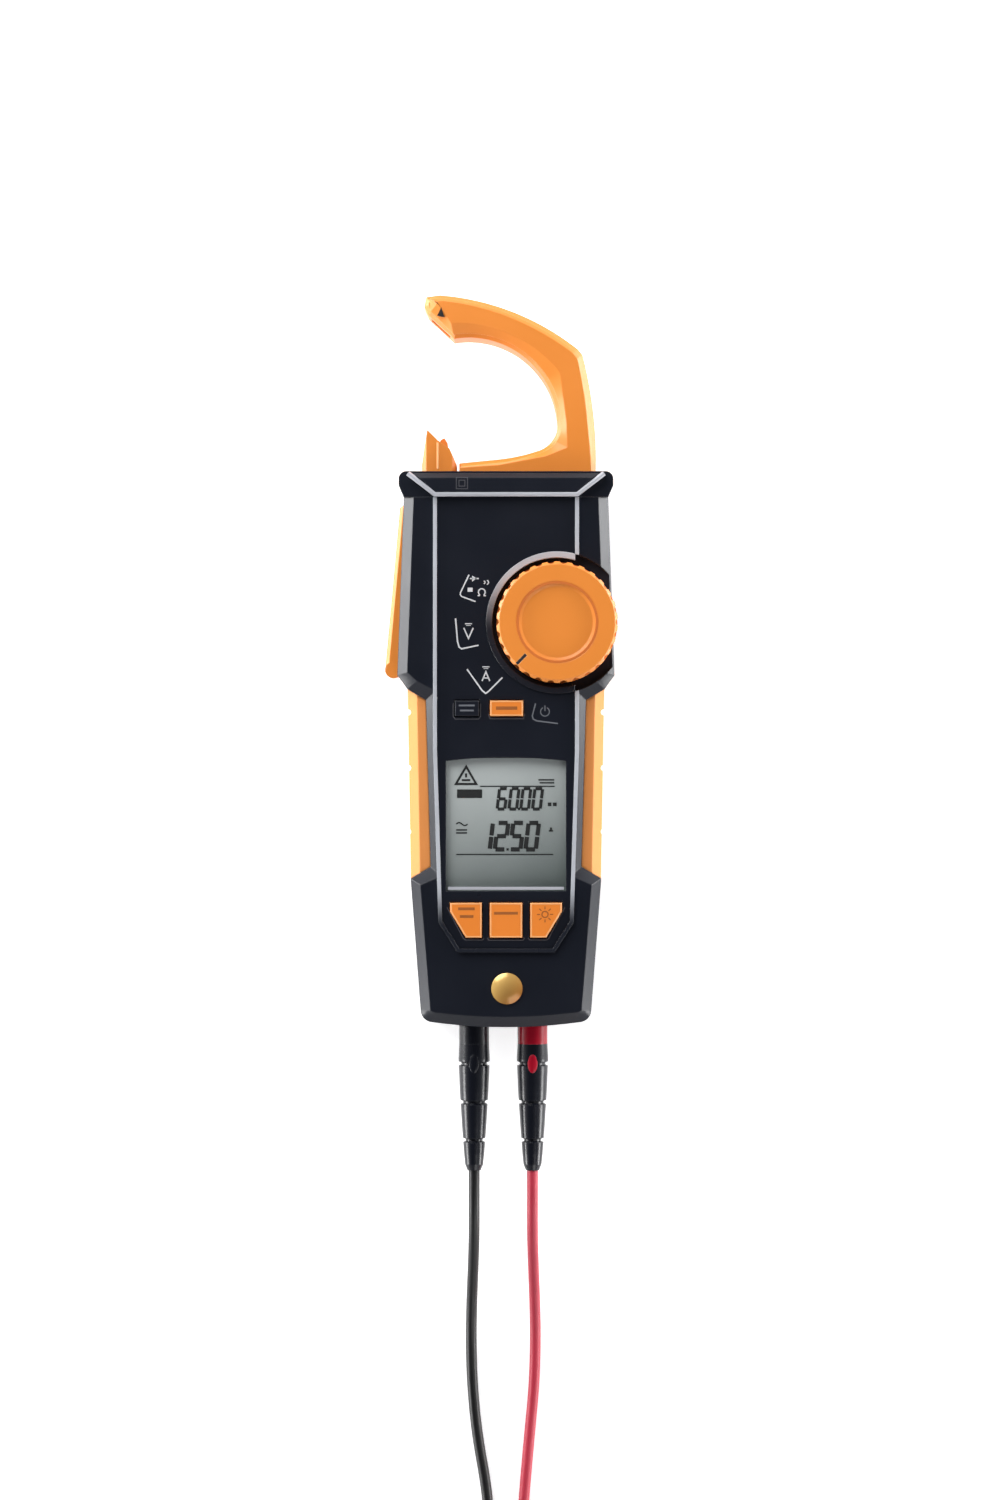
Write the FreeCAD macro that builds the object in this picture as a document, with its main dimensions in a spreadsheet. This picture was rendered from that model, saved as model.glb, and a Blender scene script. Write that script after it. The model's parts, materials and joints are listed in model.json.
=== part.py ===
import FreeCAD, Part
import math
import os
import re

import Sketcher
from FreeCAD import Placement, Rotation, Vector

# A hand-held clamp meter that lies on its back: +Z comes out of its display, +Y runs towards
# its jaws and +X to the right. The origin is on the centreline of the flat back face.
# It is held with the trigger pressed, so the sliding jaw is drawn back and the jaws are open.

# ---- Driving dimensions, in millimetres ------------------------------------------------------

SIZES = {
    # case outline, from the jaw end (seam) to the lead end (tail)
    "seam_y": 85.6, "neck_x": 34.7, "hip_x": 36.9, "hip_y": 25.2,
    "shoulder_x": 33.5, "shoulder_y": 20.5, "waist_x": 27.2, "waist_y": 16.8,
    "waist_low_x": 25.6, "waist_low_y": -39.8, "foot_x": 32.4, "foot_y": -43.9,
    "tail_x": 29.0, "tail_y": -88.5, "corner_x": 25.5, "corner_y": -92.6,
    "corner_arc": 4.2, "end_arc": 186.7,
    # case heights
    "part_z": 20.0, "face_z": 37.0, "panel_z": 38.0, "roof_z": 32.0, "floor_z": 2.2,
    "wall": 3.6, "bevel": 3.4, "gap": 0.3,
    # collar that guards the fingers
    "top_y": 94.35, "collar_x": 36.4, "collar_high": 41.0, "collar_low": 3.0, "lip_x": 24.4,
    "lip_top_x": 33.5,
    # jaws
    "jaw_low": 12.0, "jaw_high": 32.0, "jaw_mid": 22.0, "jaw_bevel": 1.5, "jaw_end_y": 55.6,
    "root_y": 76.0, "root_left_x": -15.9, "root_right_x": 30.6,
    "jaw_left_x": -28.6, "jaw_right_x": -16.8, "core_half": 2.6,
    # face panel
    "panel_x": 23.4, "panel_low_x": 21.6, "panel_bend_y": -58.1, "panel_end_x": 15.8,
    "panel_end_y": -67.4, "trim": 1.3, "trim_rise": 0.6,
    # selector dial
    "dial_x": 17.28, "dial_y": 43.0, "dial_rad": 20.5, "dial_top": 44.0, "well_rad": 22.0,
    "bezel_rad": 24.05, "well_z": 34.2, "dish_rad": 13.0, "dish_deep": 0.8, "stem_rad": 3.0,
    "scallop": 1.5, "pointer_deg": 226.0, "pointer_in": 15.2, "pointer_out": 19.6,
    "pointer_wide": 1.0, "rotor_rad": 11.0,
    # display
    "lcd_x": 20.3, "lcd_top": -3.9, "lcd_low": -47.9, "lcd_arc": 170.0,
    # push buttons
    "key_row": 16.6, "key_tall": 5.3, "hold_x": -13.2, "hold_wide": 8.2, "mode_x": 0.2,
    "mode_wide": 11.2, "low_row": -51.9, "low_end": -63.7, "low_half": 5.5, "low_in": 8.2,
    "low_out": 18.9, "low_cut_x": 13.6, "low_cut_y": -54.9, "key_top": 39.0,
    "flange_low": 30.6, "flange_high": 31.7, "flange": 0.9,
    # trigger, gear and rack
    "pivot_x": -31.3, "pivot_y": 80.5, "boss_rad": 2.2, "pivot_rad": 1.0, "sector_rad": 48.0,
    "pinion_rad": 4.5, "gear_rad": 12.5, "gear_x": -13.5, "pin_rad": 1.5, "bore_rad": 1.55,
    "module": 1.0, "blade_low": 12.5, "blade_high": 26.5, "rack_end_y": -11.0,
    # circuit board
    "board_x": 21.6, "board_low": 26.0, "board_high": 27.6,
    # test leads
    "black_x": -10.9, "red_x": 9.1, "socket_z": 20.0, "plug_y": -94.6, "plug_end": -144.2,
    "plug_rad": 5.15, "cable_rad": 1.9, "coil_x": 31.2, "coil_y": -300.0, "coil_in": 16.8,
    "coil_out": 28.2, "coil_low": 0.7, "coil_high": 8.3, "probe_y": -332.0, "probe_z": 7.6,
    # back of the case
    "cell_rad": 5.25, "cell_z": 7.9, "cell_gap": 11.5, "cell_low": -60.0, "cell_high": -15.5,
    "door_x": 19.0, "door_low": -69.0, "door_high": -8.0, "door_thick": 2.0, "door_screw": -65.5,
}
# the gear's axle stands where its pinion meets the sector, whose centre is the trigger's pivot
MESH = SIZES["sector_rad"] + SIZES["pinion_rad"]
ACROSS = SIZES["gear_x"] - SIZES["pivot_x"]
SIZES["gear_y"] = round(SIZES["pivot_y"] - math.sqrt(MESH**2 - ACROSS**2), 4)

doc = FreeCAD.newDocument("ClampMeter")
sheet = doc.addObject("Spreadsheet::Sheet", "Sizes")
for row, (alias, value) in enumerate(SIZES.items(), start=1):
    sheet.set(f"A{row}", alias)
    sheet.set(f"B{row}", str(value))
    sheet.setAlias(f"B{row}", alias)
doc.recompute()
nodes = {}


# ---- Helpers ---------------------------------------------------------------------------------

def q(text):
    """An expression with each name of a size pointed at the sheet."""
    return re.sub(r"[a-z][a-z_]*", lambda m: f"Sizes.{m[0]}" if m[0] in SIZES else m[0], str(text))


def num(text):
    """The value of an expression in millimetres."""
    return float(sheet.evalExpression(q(text)))


def keep(name, part):
    """Names a finished piece, which becomes the node of that name."""
    part.Label = name
    nodes[name] = part
    return part


def block(name, low, high):
    """A box between two corners, given as expressions."""
    part = doc.addObject("Part::Box", name)
    for size, start, end in zip(("Length", "Width", "Height"), low, high):
        part.setExpression(size, q(f"({end}) - ({start})"))
    for axis, start in zip("xyz", low):
        part.setExpression(f"Placement.Base.{axis}", q(start))
    return part


def rod(name, foot, radius, length, along="z"):
    """A cylinder from its foot along +Z or +Y."""
    part = doc.addObject("Part::Cylinder", name)
    if along == "y":
        part.Placement = Placement(Vector(), Rotation(Vector(1, 0, 0), -90))
    part.setExpression("Radius", q(radius))
    part.setExpression("Height", q(length))
    for axis, start in zip("xyz", foot):
        part.setExpression(f"Placement.Base.{axis}", q(start))
    return part


def fuse(name, *parts):
    part = doc.addObject("Part::MultiFuse", name)
    part.Shapes = list(parts)
    return part


def group(name, *parts):
    """Separate solids that share one node."""
    part = doc.addObject("Part::Compound", name)
    part.Links = list(parts)
    return part


def cut(name, base, *tools):
    part = doc.addObject("Part::Cut", name)
    part.Base = base
    part.Tool = tools[0] if len(tools) == 1 else fuse(name + "_tools", *tools)
    return part


def sketch(body, role="XY_Plane", **offsets):
    """A sketch on one of the body's own planes, moved by expressions for x, y and z."""
    plane = next(f for f in body.Origin.OriginFeatures if f.Role == role)
    drawing = body.newObject("Sketcher::SketchObject", body.Name + "_sketch")
    drawing.AttachmentSupport = [(plane, "")]
    drawing.MapMode = "FlatFace"
    for axis, text in offsets.items():
        drawing.setExpression(f"AttachmentOffset.Base.{axis}", q(text))
    return drawing


def draw(drawing, corners):
    """A closed outline. A corner is (x, y), or (x, y, radius) where an arc that bulges to the
    left of the way round leads on to the next corner. Every corner is tied to the sheet."""
    first = drawing.GeometryCount
    spots = [Vector(num(c[0]), num(c[1]), 0) for c in corners]
    starts, ends = [], []
    for i, corner in enumerate(corners):
        a, b = spots[i], spots[(i + 1) % len(spots)]
        if len(corner) == 2:
            drawing.addGeometry(Part.LineSegment(a, b), False)
            starts.append(1)
            ends.append(2)
            continue
        radius = num(corner[2])
        chord = b - a
        rise = abs(radius) - math.sqrt(radius**2 - (chord.Length / 2) ** 2)
        side = Vector(-chord.y, chord.x, 0).normalize() * math.copysign(rise, radius)
        clockwise = radius > 0  # a sketch counts an arc's ends anticlockwise
        ordered = (b, a) if clockwise else (a, b)
        drawing.addGeometry(Part.Arc(ordered[0], (a + b) * 0.5 + side, ordered[1]), False)
        starts.append(2 if clockwise else 1)
        ends.append(1 if clockwise else 2)
    count = len(corners)
    for i, corner in enumerate(corners):
        here, after = first + i, first + (i + 1) % count
        drawing.addConstraint(
            Sketcher.Constraint("Coincident", here, ends[i], after, starts[(i + 1) % count]))
        for kind, text, value in (("DistanceX", corner[0], spots[i].x),
                                  ("DistanceY", corner[1], spots[i].y)):
            index = drawing.addConstraint(
                Sketcher.Constraint(kind, -1, 1, here, starts[i], value))
            drawing.setExpression(f"Constraints[{index}]", q(text))
        if len(corner) == 3:
            index = drawing.addConstraint(
                Sketcher.Constraint("Radius", here, abs(num(corner[2]))))
            drawing.setExpression(f"Constraints[{index}]", q(f"abs({corner[2]})"))


def mirrored(half):
    """A whole outline from its right half, which is listed from the top down. The last corner's
    own bend leads across to its mirror image."""
    bends = [()] + [corner[2:] for corner in half[:-1]]
    left = [(f"-({corner[0]})", corner[1], *bend) for corner, bend in zip(half, bends)]
    return half + left[::-1]


def pad(body, drawing, length):
    feature = body.newObject("PartDesign::Pad", body.Name + "_pad")
    feature.Profile = drawing
    feature.setExpression("Length", q(length))
    doc.recompute()
    return feature


def pocket(body, drawing, length):
    """A pocket below the sketch. It has to take something away."""
    before = body.Shape.Volume
    feature = body.newObject("PartDesign::Pocket", body.Name + "_pocket")
    feature.Profile = drawing
    feature.setExpression("Length", q(length))
    doc.recompute()
    if body.Shape.Volume > before - 1e-3:
        raise RuntimeError(f"the pocket in {body.Name} cuts nothing")
    return feature


def bevel(body, size, wanted, kind="Chamfer"):
    """A chamfer or fillet on those edges of the body that the test picks."""
    base = body.Tip
    names = [f"Edge{i}" for i, edge in enumerate(base.Shape.Edges, 1) if wanted(edge)]
    feature = body.newObject("PartDesign::" + kind, body.Name + "_" + kind.lower())
    feature.Base = (base, names)
    feature.setExpression("Size" if kind == "Chamfer" else "Radius", q(size))
    doc.recompute()
    return feature


def at_height(z):
    """A test for edges that lie in the level at height z."""
    level = num(z)
    return lambda edge: all(abs(v.Z - level) < 1e-5 for v in edge.Vertexes) and abs(
        edge.valueAt(edge.FirstParameter).z - level) < 1e-5


def plate(name, corners, low, high):
    """A flat piece of one outline between two heights."""
    body = doc.addObject("PartDesign::Body", name)
    drawing = sketch(body, z=low)
    draw(drawing, corners)
    pad(body, drawing, f"({high}) - ({low})")
    return body


def turned(name, x, z, profile):
    """A piece turned about an axis along Y: the profile is a list of (radius, y)."""
    body = doc.addObject("PartDesign::Body", name)
    drawing = sketch(body, x=x, z=z)
    draw(drawing, profile)
    feature = body.newObject("PartDesign::Revolution", name + "_turning")
    feature.Profile = drawing
    feature.ReferenceAxis = (drawing, ["V_Axis"])
    feature.Angle = 360
    doc.recompute()
    return body


def rectangle(x_low, y_low, x_high, y_high):
    return [(x_low, y_high), (x_high, y_high), (x_high, y_low), (x_low, y_low)]


# ---- Case ------------------------------------------------------------------------------------

def case_half(inset="0", top="seam_y"):
    """The right half of the case's outline, drawn in by an inset for the hollow inside it."""
    i = inset
    return [
        (f"neck_x - {i}", top),
        (f"hip_x - {i}", f"hip_y + 0.3*{i}"),
        (f"shoulder_x - {i}", f"shoulder_y + 0.8*{i}"),
        (f"waist_x - {i}", f"waist_y + 0.9*{i}"),
        (f"waist_low_x - {i}", f"waist_low_y - 0.9*{i}"),
        (f"foot_x - {i}", f"foot_y - 0.6*{i}"),
        (f"tail_x - {i}", "tail_y", "corner_arc"),
        (f"corner_x - 0.7*{i}", f"corner_y + {i}", "end_arc"),
    ]


def case_shell(name, low, high, tip, hollow_low, hollow_high):
    """Half of the case. Its walls lean in over the last stretch, up to the level of the tip."""
    straight = (low, f"{tip} - bevel") if tip == high else (f"{tip} + bevel", high)
    body = plate(name, mirrored(case_half()), *straight)
    wide, narrow = sketch(body, z=straight[tip == high]), sketch(body, z=tip)
    draw(wide, mirrored(case_half()))
    draw(narrow, mirrored(case_half("bevel")))
    loft = body.newObject("PartDesign::AdditiveLoft", name + "_loft")
    loft.Profile = wide
    loft.Sections = [narrow]
    loft.Ruled = True
    doc.recompute()
    hollow = sketch(body, z=hollow_high)
    draw(hollow, mirrored(case_half("wall", "seam_y + 2")))
    pocket(body, hollow, f"({hollow_high}) - ({hollow_low})")
    return body


KEYS = {
    "hold_key": lambda g: rectangle(
        f"hold_x - hold_wide/2 - {g}", f"key_row - key_tall - {g}",
        f"hold_x + hold_wide/2 + {g}", f"key_row + {g}"),
    "mode_key": lambda g: rectangle(
        f"mode_x - mode_wide/2 - {g}", f"key_row - key_tall - {g}",
        f"mode_x + mode_wide/2 + {g}", f"key_row + {g}"),
    "range_key": lambda g: [
        (f"-low_out - {g}", f"low_row + {g}"), (f"-low_in + {g}", f"low_row + {g}"),
        (f"-low_in + {g}", f"low_end - {g}"), (f"-low_cut_x - 0.5*{g}", f"low_end - {g}"),
        (f"-low_out - {g}", f"low_cut_y - 0.5*{g}")],
    "peak_key": lambda g: rectangle(
        f"-low_half - {g}", f"low_end - {g}", f"low_half + {g}", f"low_row + {g}"),
    "light_key": lambda g: [
        (f"low_in - {g}", f"low_row + {g}"), (f"low_out + {g}", f"low_row + {g}"),
        (f"low_out + {g}", f"low_cut_y - 0.5*{g}"), (f"low_cut_x + 0.5*{g}", f"low_end - {g}"),
        (f"low_in - {g}", f"low_end - {g}")],
}
KEY_CENTRES = {
    "hold_key": ("hold_x", "key_row - key_tall/2"),
    "mode_key": ("mode_x", "key_row - key_tall/2"),
    "range_key": ("-(low_in + low_out)/2", "(low_row + low_end)/2 + 1"),
    "peak_key": ("0", "(low_row + low_end)/2"),
    "light_key": ("(low_in + low_out)/2", "(low_row + low_end)/2 + 1"),
}
LEADS = {"black": "black_x", "red": "red_x"}
WINDOW = [("-lcd_x", "lcd_top", "lcd_arc"), ("lcd_x", "lcd_top"),
          ("lcd_x", "lcd_low"), ("-lcd_x", "lcd_low")]
CASE_SCREWS = [("28.9", "71.5"), ("28.6", "26"), ("25.8", "-49.5"), ("-25.8", "-49.5")]


def face_openings(body, top, depth):
    """Lets the keys and the display through a front wall."""
    drawing = sketch(body, z=top)
    draw(drawing, WINDOW)
    for outline in KEYS.values():
        draw(drawing, outline("gap"))
    pocket(body, drawing, depth)


front = case_shell("front_case", "part_z", "face_z", "face_z", "part_z", "roof_z")
face_openings(front, "face_z", "face_z - part_z")
front_cut = cut(
    "front_with_openings", front,
    rod("dial_well", ("dial_x", "dial_y", "well_z"), "bezel_rad", "6"),
    rod("dial_stem_hole", ("dial_x", "dial_y", "roof_z - 1"), "stem_rad + 0.08", "6"),
    block("display_recess", ("-21.9", "-50.3", "roof_z - 1"), ("21.9", "-1.2", "35.4")),
    block("trigger_slot_front", ("-45", "23.6", "part_z - 1"), ("-30", "seam_y + 1", "27.4")),
    *[rod(f"{lead}_mouth_front", (x, "-100", "socket_z"), "4.5", "14", "y")
      for lead, x in LEADS.items()])
screw_posts = [
    cut(f"screw_post_{i}", rod(f"post_{i}", (x, y, "part_z"), "2.9", "roof_z - part_z"),
        rod(f"post_hole_{i}", (x, y, "part_z - 1"), "1.25", "9"))
    for i, (x, y) in enumerate(CASE_SCREWS)]
pivot_top = rod("pivot_top_post", ("pivot_x", "pivot_y", "27.4"), "boss_rad", "5")
keep("front_shell", cut(
    "front_drilled", fuse("front_and_posts", front_cut, *screw_posts, pivot_top),
    rod("pivot_top_seat", ("pivot_x", "pivot_y", "26"), "pivot_rad", "5")))

rear = case_shell("rear_case", "0", "part_z", "0", "floor_z", "part_z")
rear_posts = [rod(f"rear_post_{i}", (x, y, "1"), "2.9", "part_z - 1")
              for i, (x, y) in enumerate(CASE_SCREWS)]
pivot_post = rod("pivot_post", ("pivot_x", "pivot_y", "1"), "boss_rad", "5.8")
axle_post = rod("axle_post", ("gear_x", "gear_y", "1"), "3.4", "5.5")
door_post = rod("door_post", ("0", "door_screw", "door_thick"), "3.2", "7")
rear_solid = fuse("rear_and_posts", rear, *rear_posts, axle_post, pivot_post, door_post)
keep("rear_shell", cut(
    "rear_with_openings", rear_solid,
    block("door_opening", ("-door_x - 0.2", "door_low - 0.2", "-1"),
          ("door_x + 0.2", "door_high + 0.2", "door_thick")),
    block("cell_opening", ("-door_x + 1.5", "cell_low - 1.6", "-1"),
          ("door_x - 1.5", "cell_high + 1.6", "floor_z + 1")),
    block("trigger_slot_rear", ("-45", "23.6", "11.6"), ("-30", "seam_y + 1", "part_z + 1")),
    block("sector_relief", ("-33.8", "30", "6.8"), ("-28", "84", "11.7")),
    rod("axle_seat", ("gear_x", "gear_y", "3"), "pin_rad", "9"),
    rod("pivot_seat", ("pivot_x", "pivot_y", "3"), "pivot_rad", "9"),
    rod("door_screw_hole", ("0", "door_screw", "1"), "1.25", "10"),
    *[rod(f"screw_shank_hole_{i}", (x, y, "-1"), "1.6", "part_z + 2")
      for i, (x, y) in enumerate(CASE_SCREWS)],
    *[rod(f"screw_head_hole_{i}", (x, y, "-1"), "2.75", "5")
      for i, (x, y) in enumerate(CASE_SCREWS)],
    *[rod(f"{lead}_mouth_rear", (x, "-100", "socket_z"), "4.5", "14", "y")
      for lead, x in LEADS.items()]))


# ---- Collar, grips and face ------------------------------------------------------------------

collar = plate("collar_block", mirrored([
    ("33.9", "top_y", "2.6"), ("collar_x", "top_y - 2.5"), ("collar_x", "top_y - 4.8"),
    ("neck_x + 0.2", "top_y - 8.1"), ("neck_x", "seam_y")]), "collar_low", "face_z")
lip = plate("collar_lip", [
    ("-lip_top_x", "top_y - 0.9"), ("lip_top_x", "top_y - 0.9"), ("lip_x", "seam_y"),
    ("-lip_x", "seam_y")], "face_z", "collar_high")
bevel(lip, "1.6", at_height("collar_high"))
keep("jaw_collar", cut(
    "collar_with_opening", fuse("collar_and_lip", collar, lip),
    block("jaw_opening", ("jaw_left_x - gap", "seam_y - 1", "jaw_low - gap"),
          ("root_right_x + gap", "top_y + 1", "jaw_high + gap"))))


def grip(name, side):
    """A soft pad that fills the waist on one side, grooved across."""
    half = [("waist_x", "waist_y"), ("shoulder_x", "shoulder_y"), ("foot_x", "foot_y"),
            ("waist_low_x", "waist_low_y")]
    corners = half if side > 0 else [(f"-({x})", y) for x, y in reversed(half)]
    body = plate(name + "_pad", corners, "3.6", "face_z - bevel - 1")
    bevel(body, "3.2", lambda e: abs(e.BoundBox.YLength) > 55 and all(
        abs(v.X) > num("foot_x") - 1 for v in e.Vertexes))
    grooves = [rod(f"{name}_groove_{i}", (f"{side}*(foot_x + 1)", y, "2"), "1.1", "34")
               for i, y in enumerate(("12.7", "-6.3", "-28"))]
    return cut(name + "_grooved", body, *grooves)


keep("left_grip", grip("left_grip", -1))
keep("right_grip", grip("right_grip", 1))


def panel_half(out="0"):
    return [(f"panel_x + {out}", "seam_y - 0.1"), (f"panel_x + {out}", "0"),
            (f"panel_low_x + {out}", "panel_bend_y - 0.3*" + out),
            (f"panel_end_x + 0.5*{out}", "panel_end_y - " + out)]


panel = plate("face_plate", mirrored(panel_half()), "face_z", "panel_z")
face_openings(panel, "panel_z", "panel_z - face_z")
keep("face_panel", cut("face_panel_with_well", panel, rod(
    "panel_well", ("dial_x", "dial_y", "face_z - 1"), "bezel_rad", "4")))

trim = plate("trim_plate", mirrored(panel_half("trim")), "face_z", "panel_z + trim_rise")
trim_inside = sketch(trim, z="panel_z + trim_rise")
draw(trim_inside, mirrored(panel_half()))
pocket(trim, trim_inside, "panel_z + trim_rise - face_z")
keep("panel_trim", cut("trim_with_well", trim, rod(
    "trim_well", ("dial_x", "dial_y", "face_z - 1"), "bezel_rad", "4")))

keep("dial_bezel", cut(
    "bezel_ring", rod("bezel_outer", ("dial_x", "dial_y", "well_z"), "bezel_rad", "4.6"),
    rod("bezel_inner", ("dial_x", "dial_y", "well_z - 1"), "well_rad", "8"),
    block("bezel_trim", ("panel_x", "10", "30"), ("60", "80", "50"))))

window = plate("window_plate", [
    ("-lcd_x + 0.1", "lcd_top - 0.1", "lcd_arc"), ("lcd_x - 0.1", "lcd_top - 0.1"),
    ("lcd_x - 0.1", "lcd_low + 0.1"), ("-lcd_x + 0.1", "lcd_low + 0.1")],
    "35.6", "panel_z - 0.1")
keep("display_window", window)
keep("display_glass", block("lcd_plate", ("-lcd_x - 1", "lcd_low - 1", "33"),
                            ("lcd_x + 1", "lcd_top + 1", "35.1")))
keep("display_frame", cut(
    "display_frame_ring",
    block("frame_block", ("-21.6", "-50", "board_high"), ("21.6", "-1.5", "33")),
    block("frame_hollow", ("-20.4", "-48", "30"), ("20.4", "-3.5", "34"))))
badge_base = rod("badge_base", ("0.3", "-81", "face_z"), "5.3", "0.7")
badge_dome = doc.addObject("Part::Sphere", "badge_ball")
badge_dome.Radius = 12.9
badge_dome.Placement.Base = Vector(0.3, -81, num("face_z") - 11.05)
badge_slug = rod("badge_slug", ("0.3", "-81", "face_z + 0.7"), "5.3", "3")
badge_top = doc.addObject("Part::Common", "badge_cap")
badge_top.Base, badge_top.Tool = badge_dome, badge_slug
keep("front_badge", fuse("badge", badge_base, badge_top))


# ---- Selector dial ---------------------------------------------------------------------------

knob = doc.addObject("PartDesign::Body", "knob_body")
knob_turn = sketch(knob, "XZ_Plane", x="dial_x", z="-dial_y")
draw(knob_turn, [
    ("0", "dial_top - dish_deep"), ("dish_rad - 1", "dial_top - dish_deep"),
    ("dish_rad + 1", "dial_top"), ("dial_rad - 1", "dial_top"),
    ("dial_rad", "dial_top - 0.9"), ("dial_rad", "well_z + gap"),
    ("stem_rad", "well_z + gap"), ("stem_rad", "31.5"), ("0", "31.5")])
turning = knob.newObject("PartDesign::Revolution", "knob_turning")
turning.Profile = knob_turn
turning.ReferenceAxis = (knob_turn, ["V_Axis"])
turning.Angle = 360
doc.recompute()
SCALLOPS = 30
scallops = []
for i in range(SCALLOPS):
    turn = math.radians(i * 360 / SCALLOPS)
    scallops.append(rod(
        f"scallop_{i}", (f"dial_x + (dial_rad + 0.75)*{math.cos(turn):.6f}",
                         f"dial_y + (dial_rad + 0.75)*{math.sin(turn):.6f}",
                         "dial_top - 8"), "scallop", "10"))


def pointer_bar(name):
    """The bar let into the knob's top, pointing outwards."""
    bar = doc.addObject("Part::Box", name)
    bar.setExpression("Length", q("pointer_out - pointer_in"))
    bar.setExpression("Width", q("pointer_wide"))
    bar.Height = 0.6
    turn = math.radians(num("pointer_deg"))
    start, half = num("pointer_in"), num("pointer_wide") / 2
    bar.Placement = Placement(
        Vector(num("dial_x") + start * math.cos(turn) + half * math.sin(turn),
               num("dial_y") + start * math.sin(turn) - half * math.cos(turn),
               num("dial_top") - 0.6), Rotation(Vector(0, 0, 1), num("pointer_deg")))
    return bar


keep("dial_knob", cut("knob_scalloped", knob, *scallops, pointer_bar("pointer_slot")))
keep("dial_pointer", pointer_bar("pointer_bar"))
keep("switch_rotor", rod("rotor", ("dial_x", "dial_y", "28.3"), "rotor_rad", "3.2"))


# ---- Keys and circuit board ------------------------------------------------------------------

for key, outline in KEYS.items():
    cap = plate(key + "_cap", outline("0"), "flange_high", "key_top")
    bevel(cap, "0.4", at_height("key_top"), "Fillet")
    foot = plate(key + "_foot", outline("flange"), "flange_low", "flange_high")
    keep(key, fuse(key + "_whole", cap, foot))

keep("main_board", plate("board_plate", [
    ("-board_x", "33"), ("2", "33"), ("2", "58"), ("27", "58"), ("27", "31"), ("board_x", "24"),
    ("board_x", "-70"), ("-board_x", "-70")], "board_low", "board_high"))
domes = [rod(key + "_dome", (x, y, "board_high"), "2.2", "1.8")
         for key, (x, y) in KEY_CENTRES.items()]
keep("key_mat", group(
    "key_domes",
    fuse("upper_mat", block("upper_sheet", ("-18", "10", "board_high"), ("7", "17.5", "28.3")),
         *domes[:2]),
    fuse("lower_mat", block("lower_sheet", ("-20", "-64", "board_high"), ("20", "-51", "28.3")),
         *domes[2:])))
CHIPS = [(-14, -25, 9, 9), (9, -30, 12, 12), (-6, -50, 10, 6), (14, -8, 6, 4), (-16, 4, 5, 8),
         (20, 46, 8, 5)]
keep("board_chips", group("chips", *[
    block(f"chip_{i}", (f"{x - w / 2}", f"{y - d / 2}", "board_low - 1.5"),
          (f"{x + w / 2}", f"{y + d / 2}", "board_low")) for i, (x, y, w, d) in enumerate(CHIPS)]))
keep("buzzer", rod("buzzer_can", ("15", "14", "board_low - 3.4"), "5.5", "3.4"))


# ---- Jaws ------------------------------------------------------------------------------------

HOOK = [
    ("root_left_x", "97.4"), ("-2.4", "98.75", "-60"), ("10.5", "101.5", "-9.5"),
    ("17.6", "111.6", "-30.3"), ("-17.6", "139.8"), ("-26.4", "147.9"),
    ("-27.8", "150.9"), ("-27.1", "154"), ("-22.4", "154.6", "86"), ("24.6", "136.1"),
    ("26.1", "134.2", "150"), ("root_right_x", "94.5"), ("root_right_x", "root_y"),
    ("root_left_x", "root_y")]
CORE = [
    ("-8", "root_y + 1"), ("-8", "88"), ("14", "93", "-14"), ("22.6", "108", "-33"), ("6", "139"),
    ("-12", "143.6"), ("-12", "148.6"), ("8", "143.6", "30"), ("27.4", "108", "18"), ("24", "90"),
    ("22", "root_y + 1")]


def jaw_half(name, corners, low, high, level, tool):
    """Half of a jaw's cover, beveled on its outer face, with room for the core."""
    body = plate(name + "_cover", corners, low, high)
    outer_face = at_height(level)
    bevel(body, "jaw_bevel", lambda e: outer_face(e) and any(v.Y > 97 for v in e.Vertexes))
    return cut(name + "_hollow", body, tool)


def bobbin(name):
    """The room that the winding takes up around the core."""
    return block(name, ("19.5", "100", "jaw_mid - 4.4"), ("29.2", "114", "jaw_mid + 4.4"))


core_low, core_high = "jaw_mid - core_half", "jaw_mid + core_half"
for name, low, high, level in (("fixed_jaw_front", "jaw_mid", "jaw_high", "jaw_high"),
                               ("fixed_jaw_rear", "jaw_low", "jaw_mid", "jaw_low")):
    core_room = plate(name + "_core_room", CORE, core_low, core_high)
    tongue_room = plate(name + "_tongue_room", [
        ("-22.5", "150"), ("-19", "146"), ("-19", "138"), ("-26.5", "146")],
        "jaw_mid - 4.3", "jaw_mid + 4.3")
    keep(name, jaw_half(name, HOOK, low, high, level, fuse(
        name + "_room", core_room, tongue_room, bobbin(name + "_bobbin_room"))))
keep("fixed_core", plate("fixed_core_stack", CORE, core_low, core_high))
keep("fixed_coil", cut("coil_winding", bobbin("coil_block"),
                       plate("coil_core_room", CORE, core_low, core_high)))

SLIDER = [
    ("jaw_left_x + 1.8", "108.75"), ("-23.2", "105.2"), ("jaw_right_x - 2.4", "102.4"),
    ("jaw_right_x", "97"), ("jaw_right_x", "jaw_end_y"), ("jaw_left_x", "jaw_end_y"),
    ("jaw_left_x", "97")]
slider = plate("slider_cover", SLIDER, "jaw_low + gap", "jaw_high - gap")
bevel(slider, "1.5", lambda e: abs(e.BoundBox.ZLength) < 1e-6 and e.BoundBox.YLength > 20)
CORE_BAR = [("-25.4", "100"), ("-20", "100"), ("-20", "jaw_end_y + 4"),
            ("-25.4", "jaw_end_y + 4")]
tongue = plate("slider_tongue", [
    ("-22.8", "103"), ("-22.4", "105.6"), ("-21", "106.4"), ("-19.9", "104.6"), ("-19.4", "100"),
    ("-22.8", "100")], "jaw_mid - 3.8", "jaw_mid + 3.8")
guide = block("slider_guide", ("jaw_left_x", "jaw_end_y - 9", "14.3"),
              ("jaw_right_x", "jaw_end_y", "23.5"))
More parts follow.
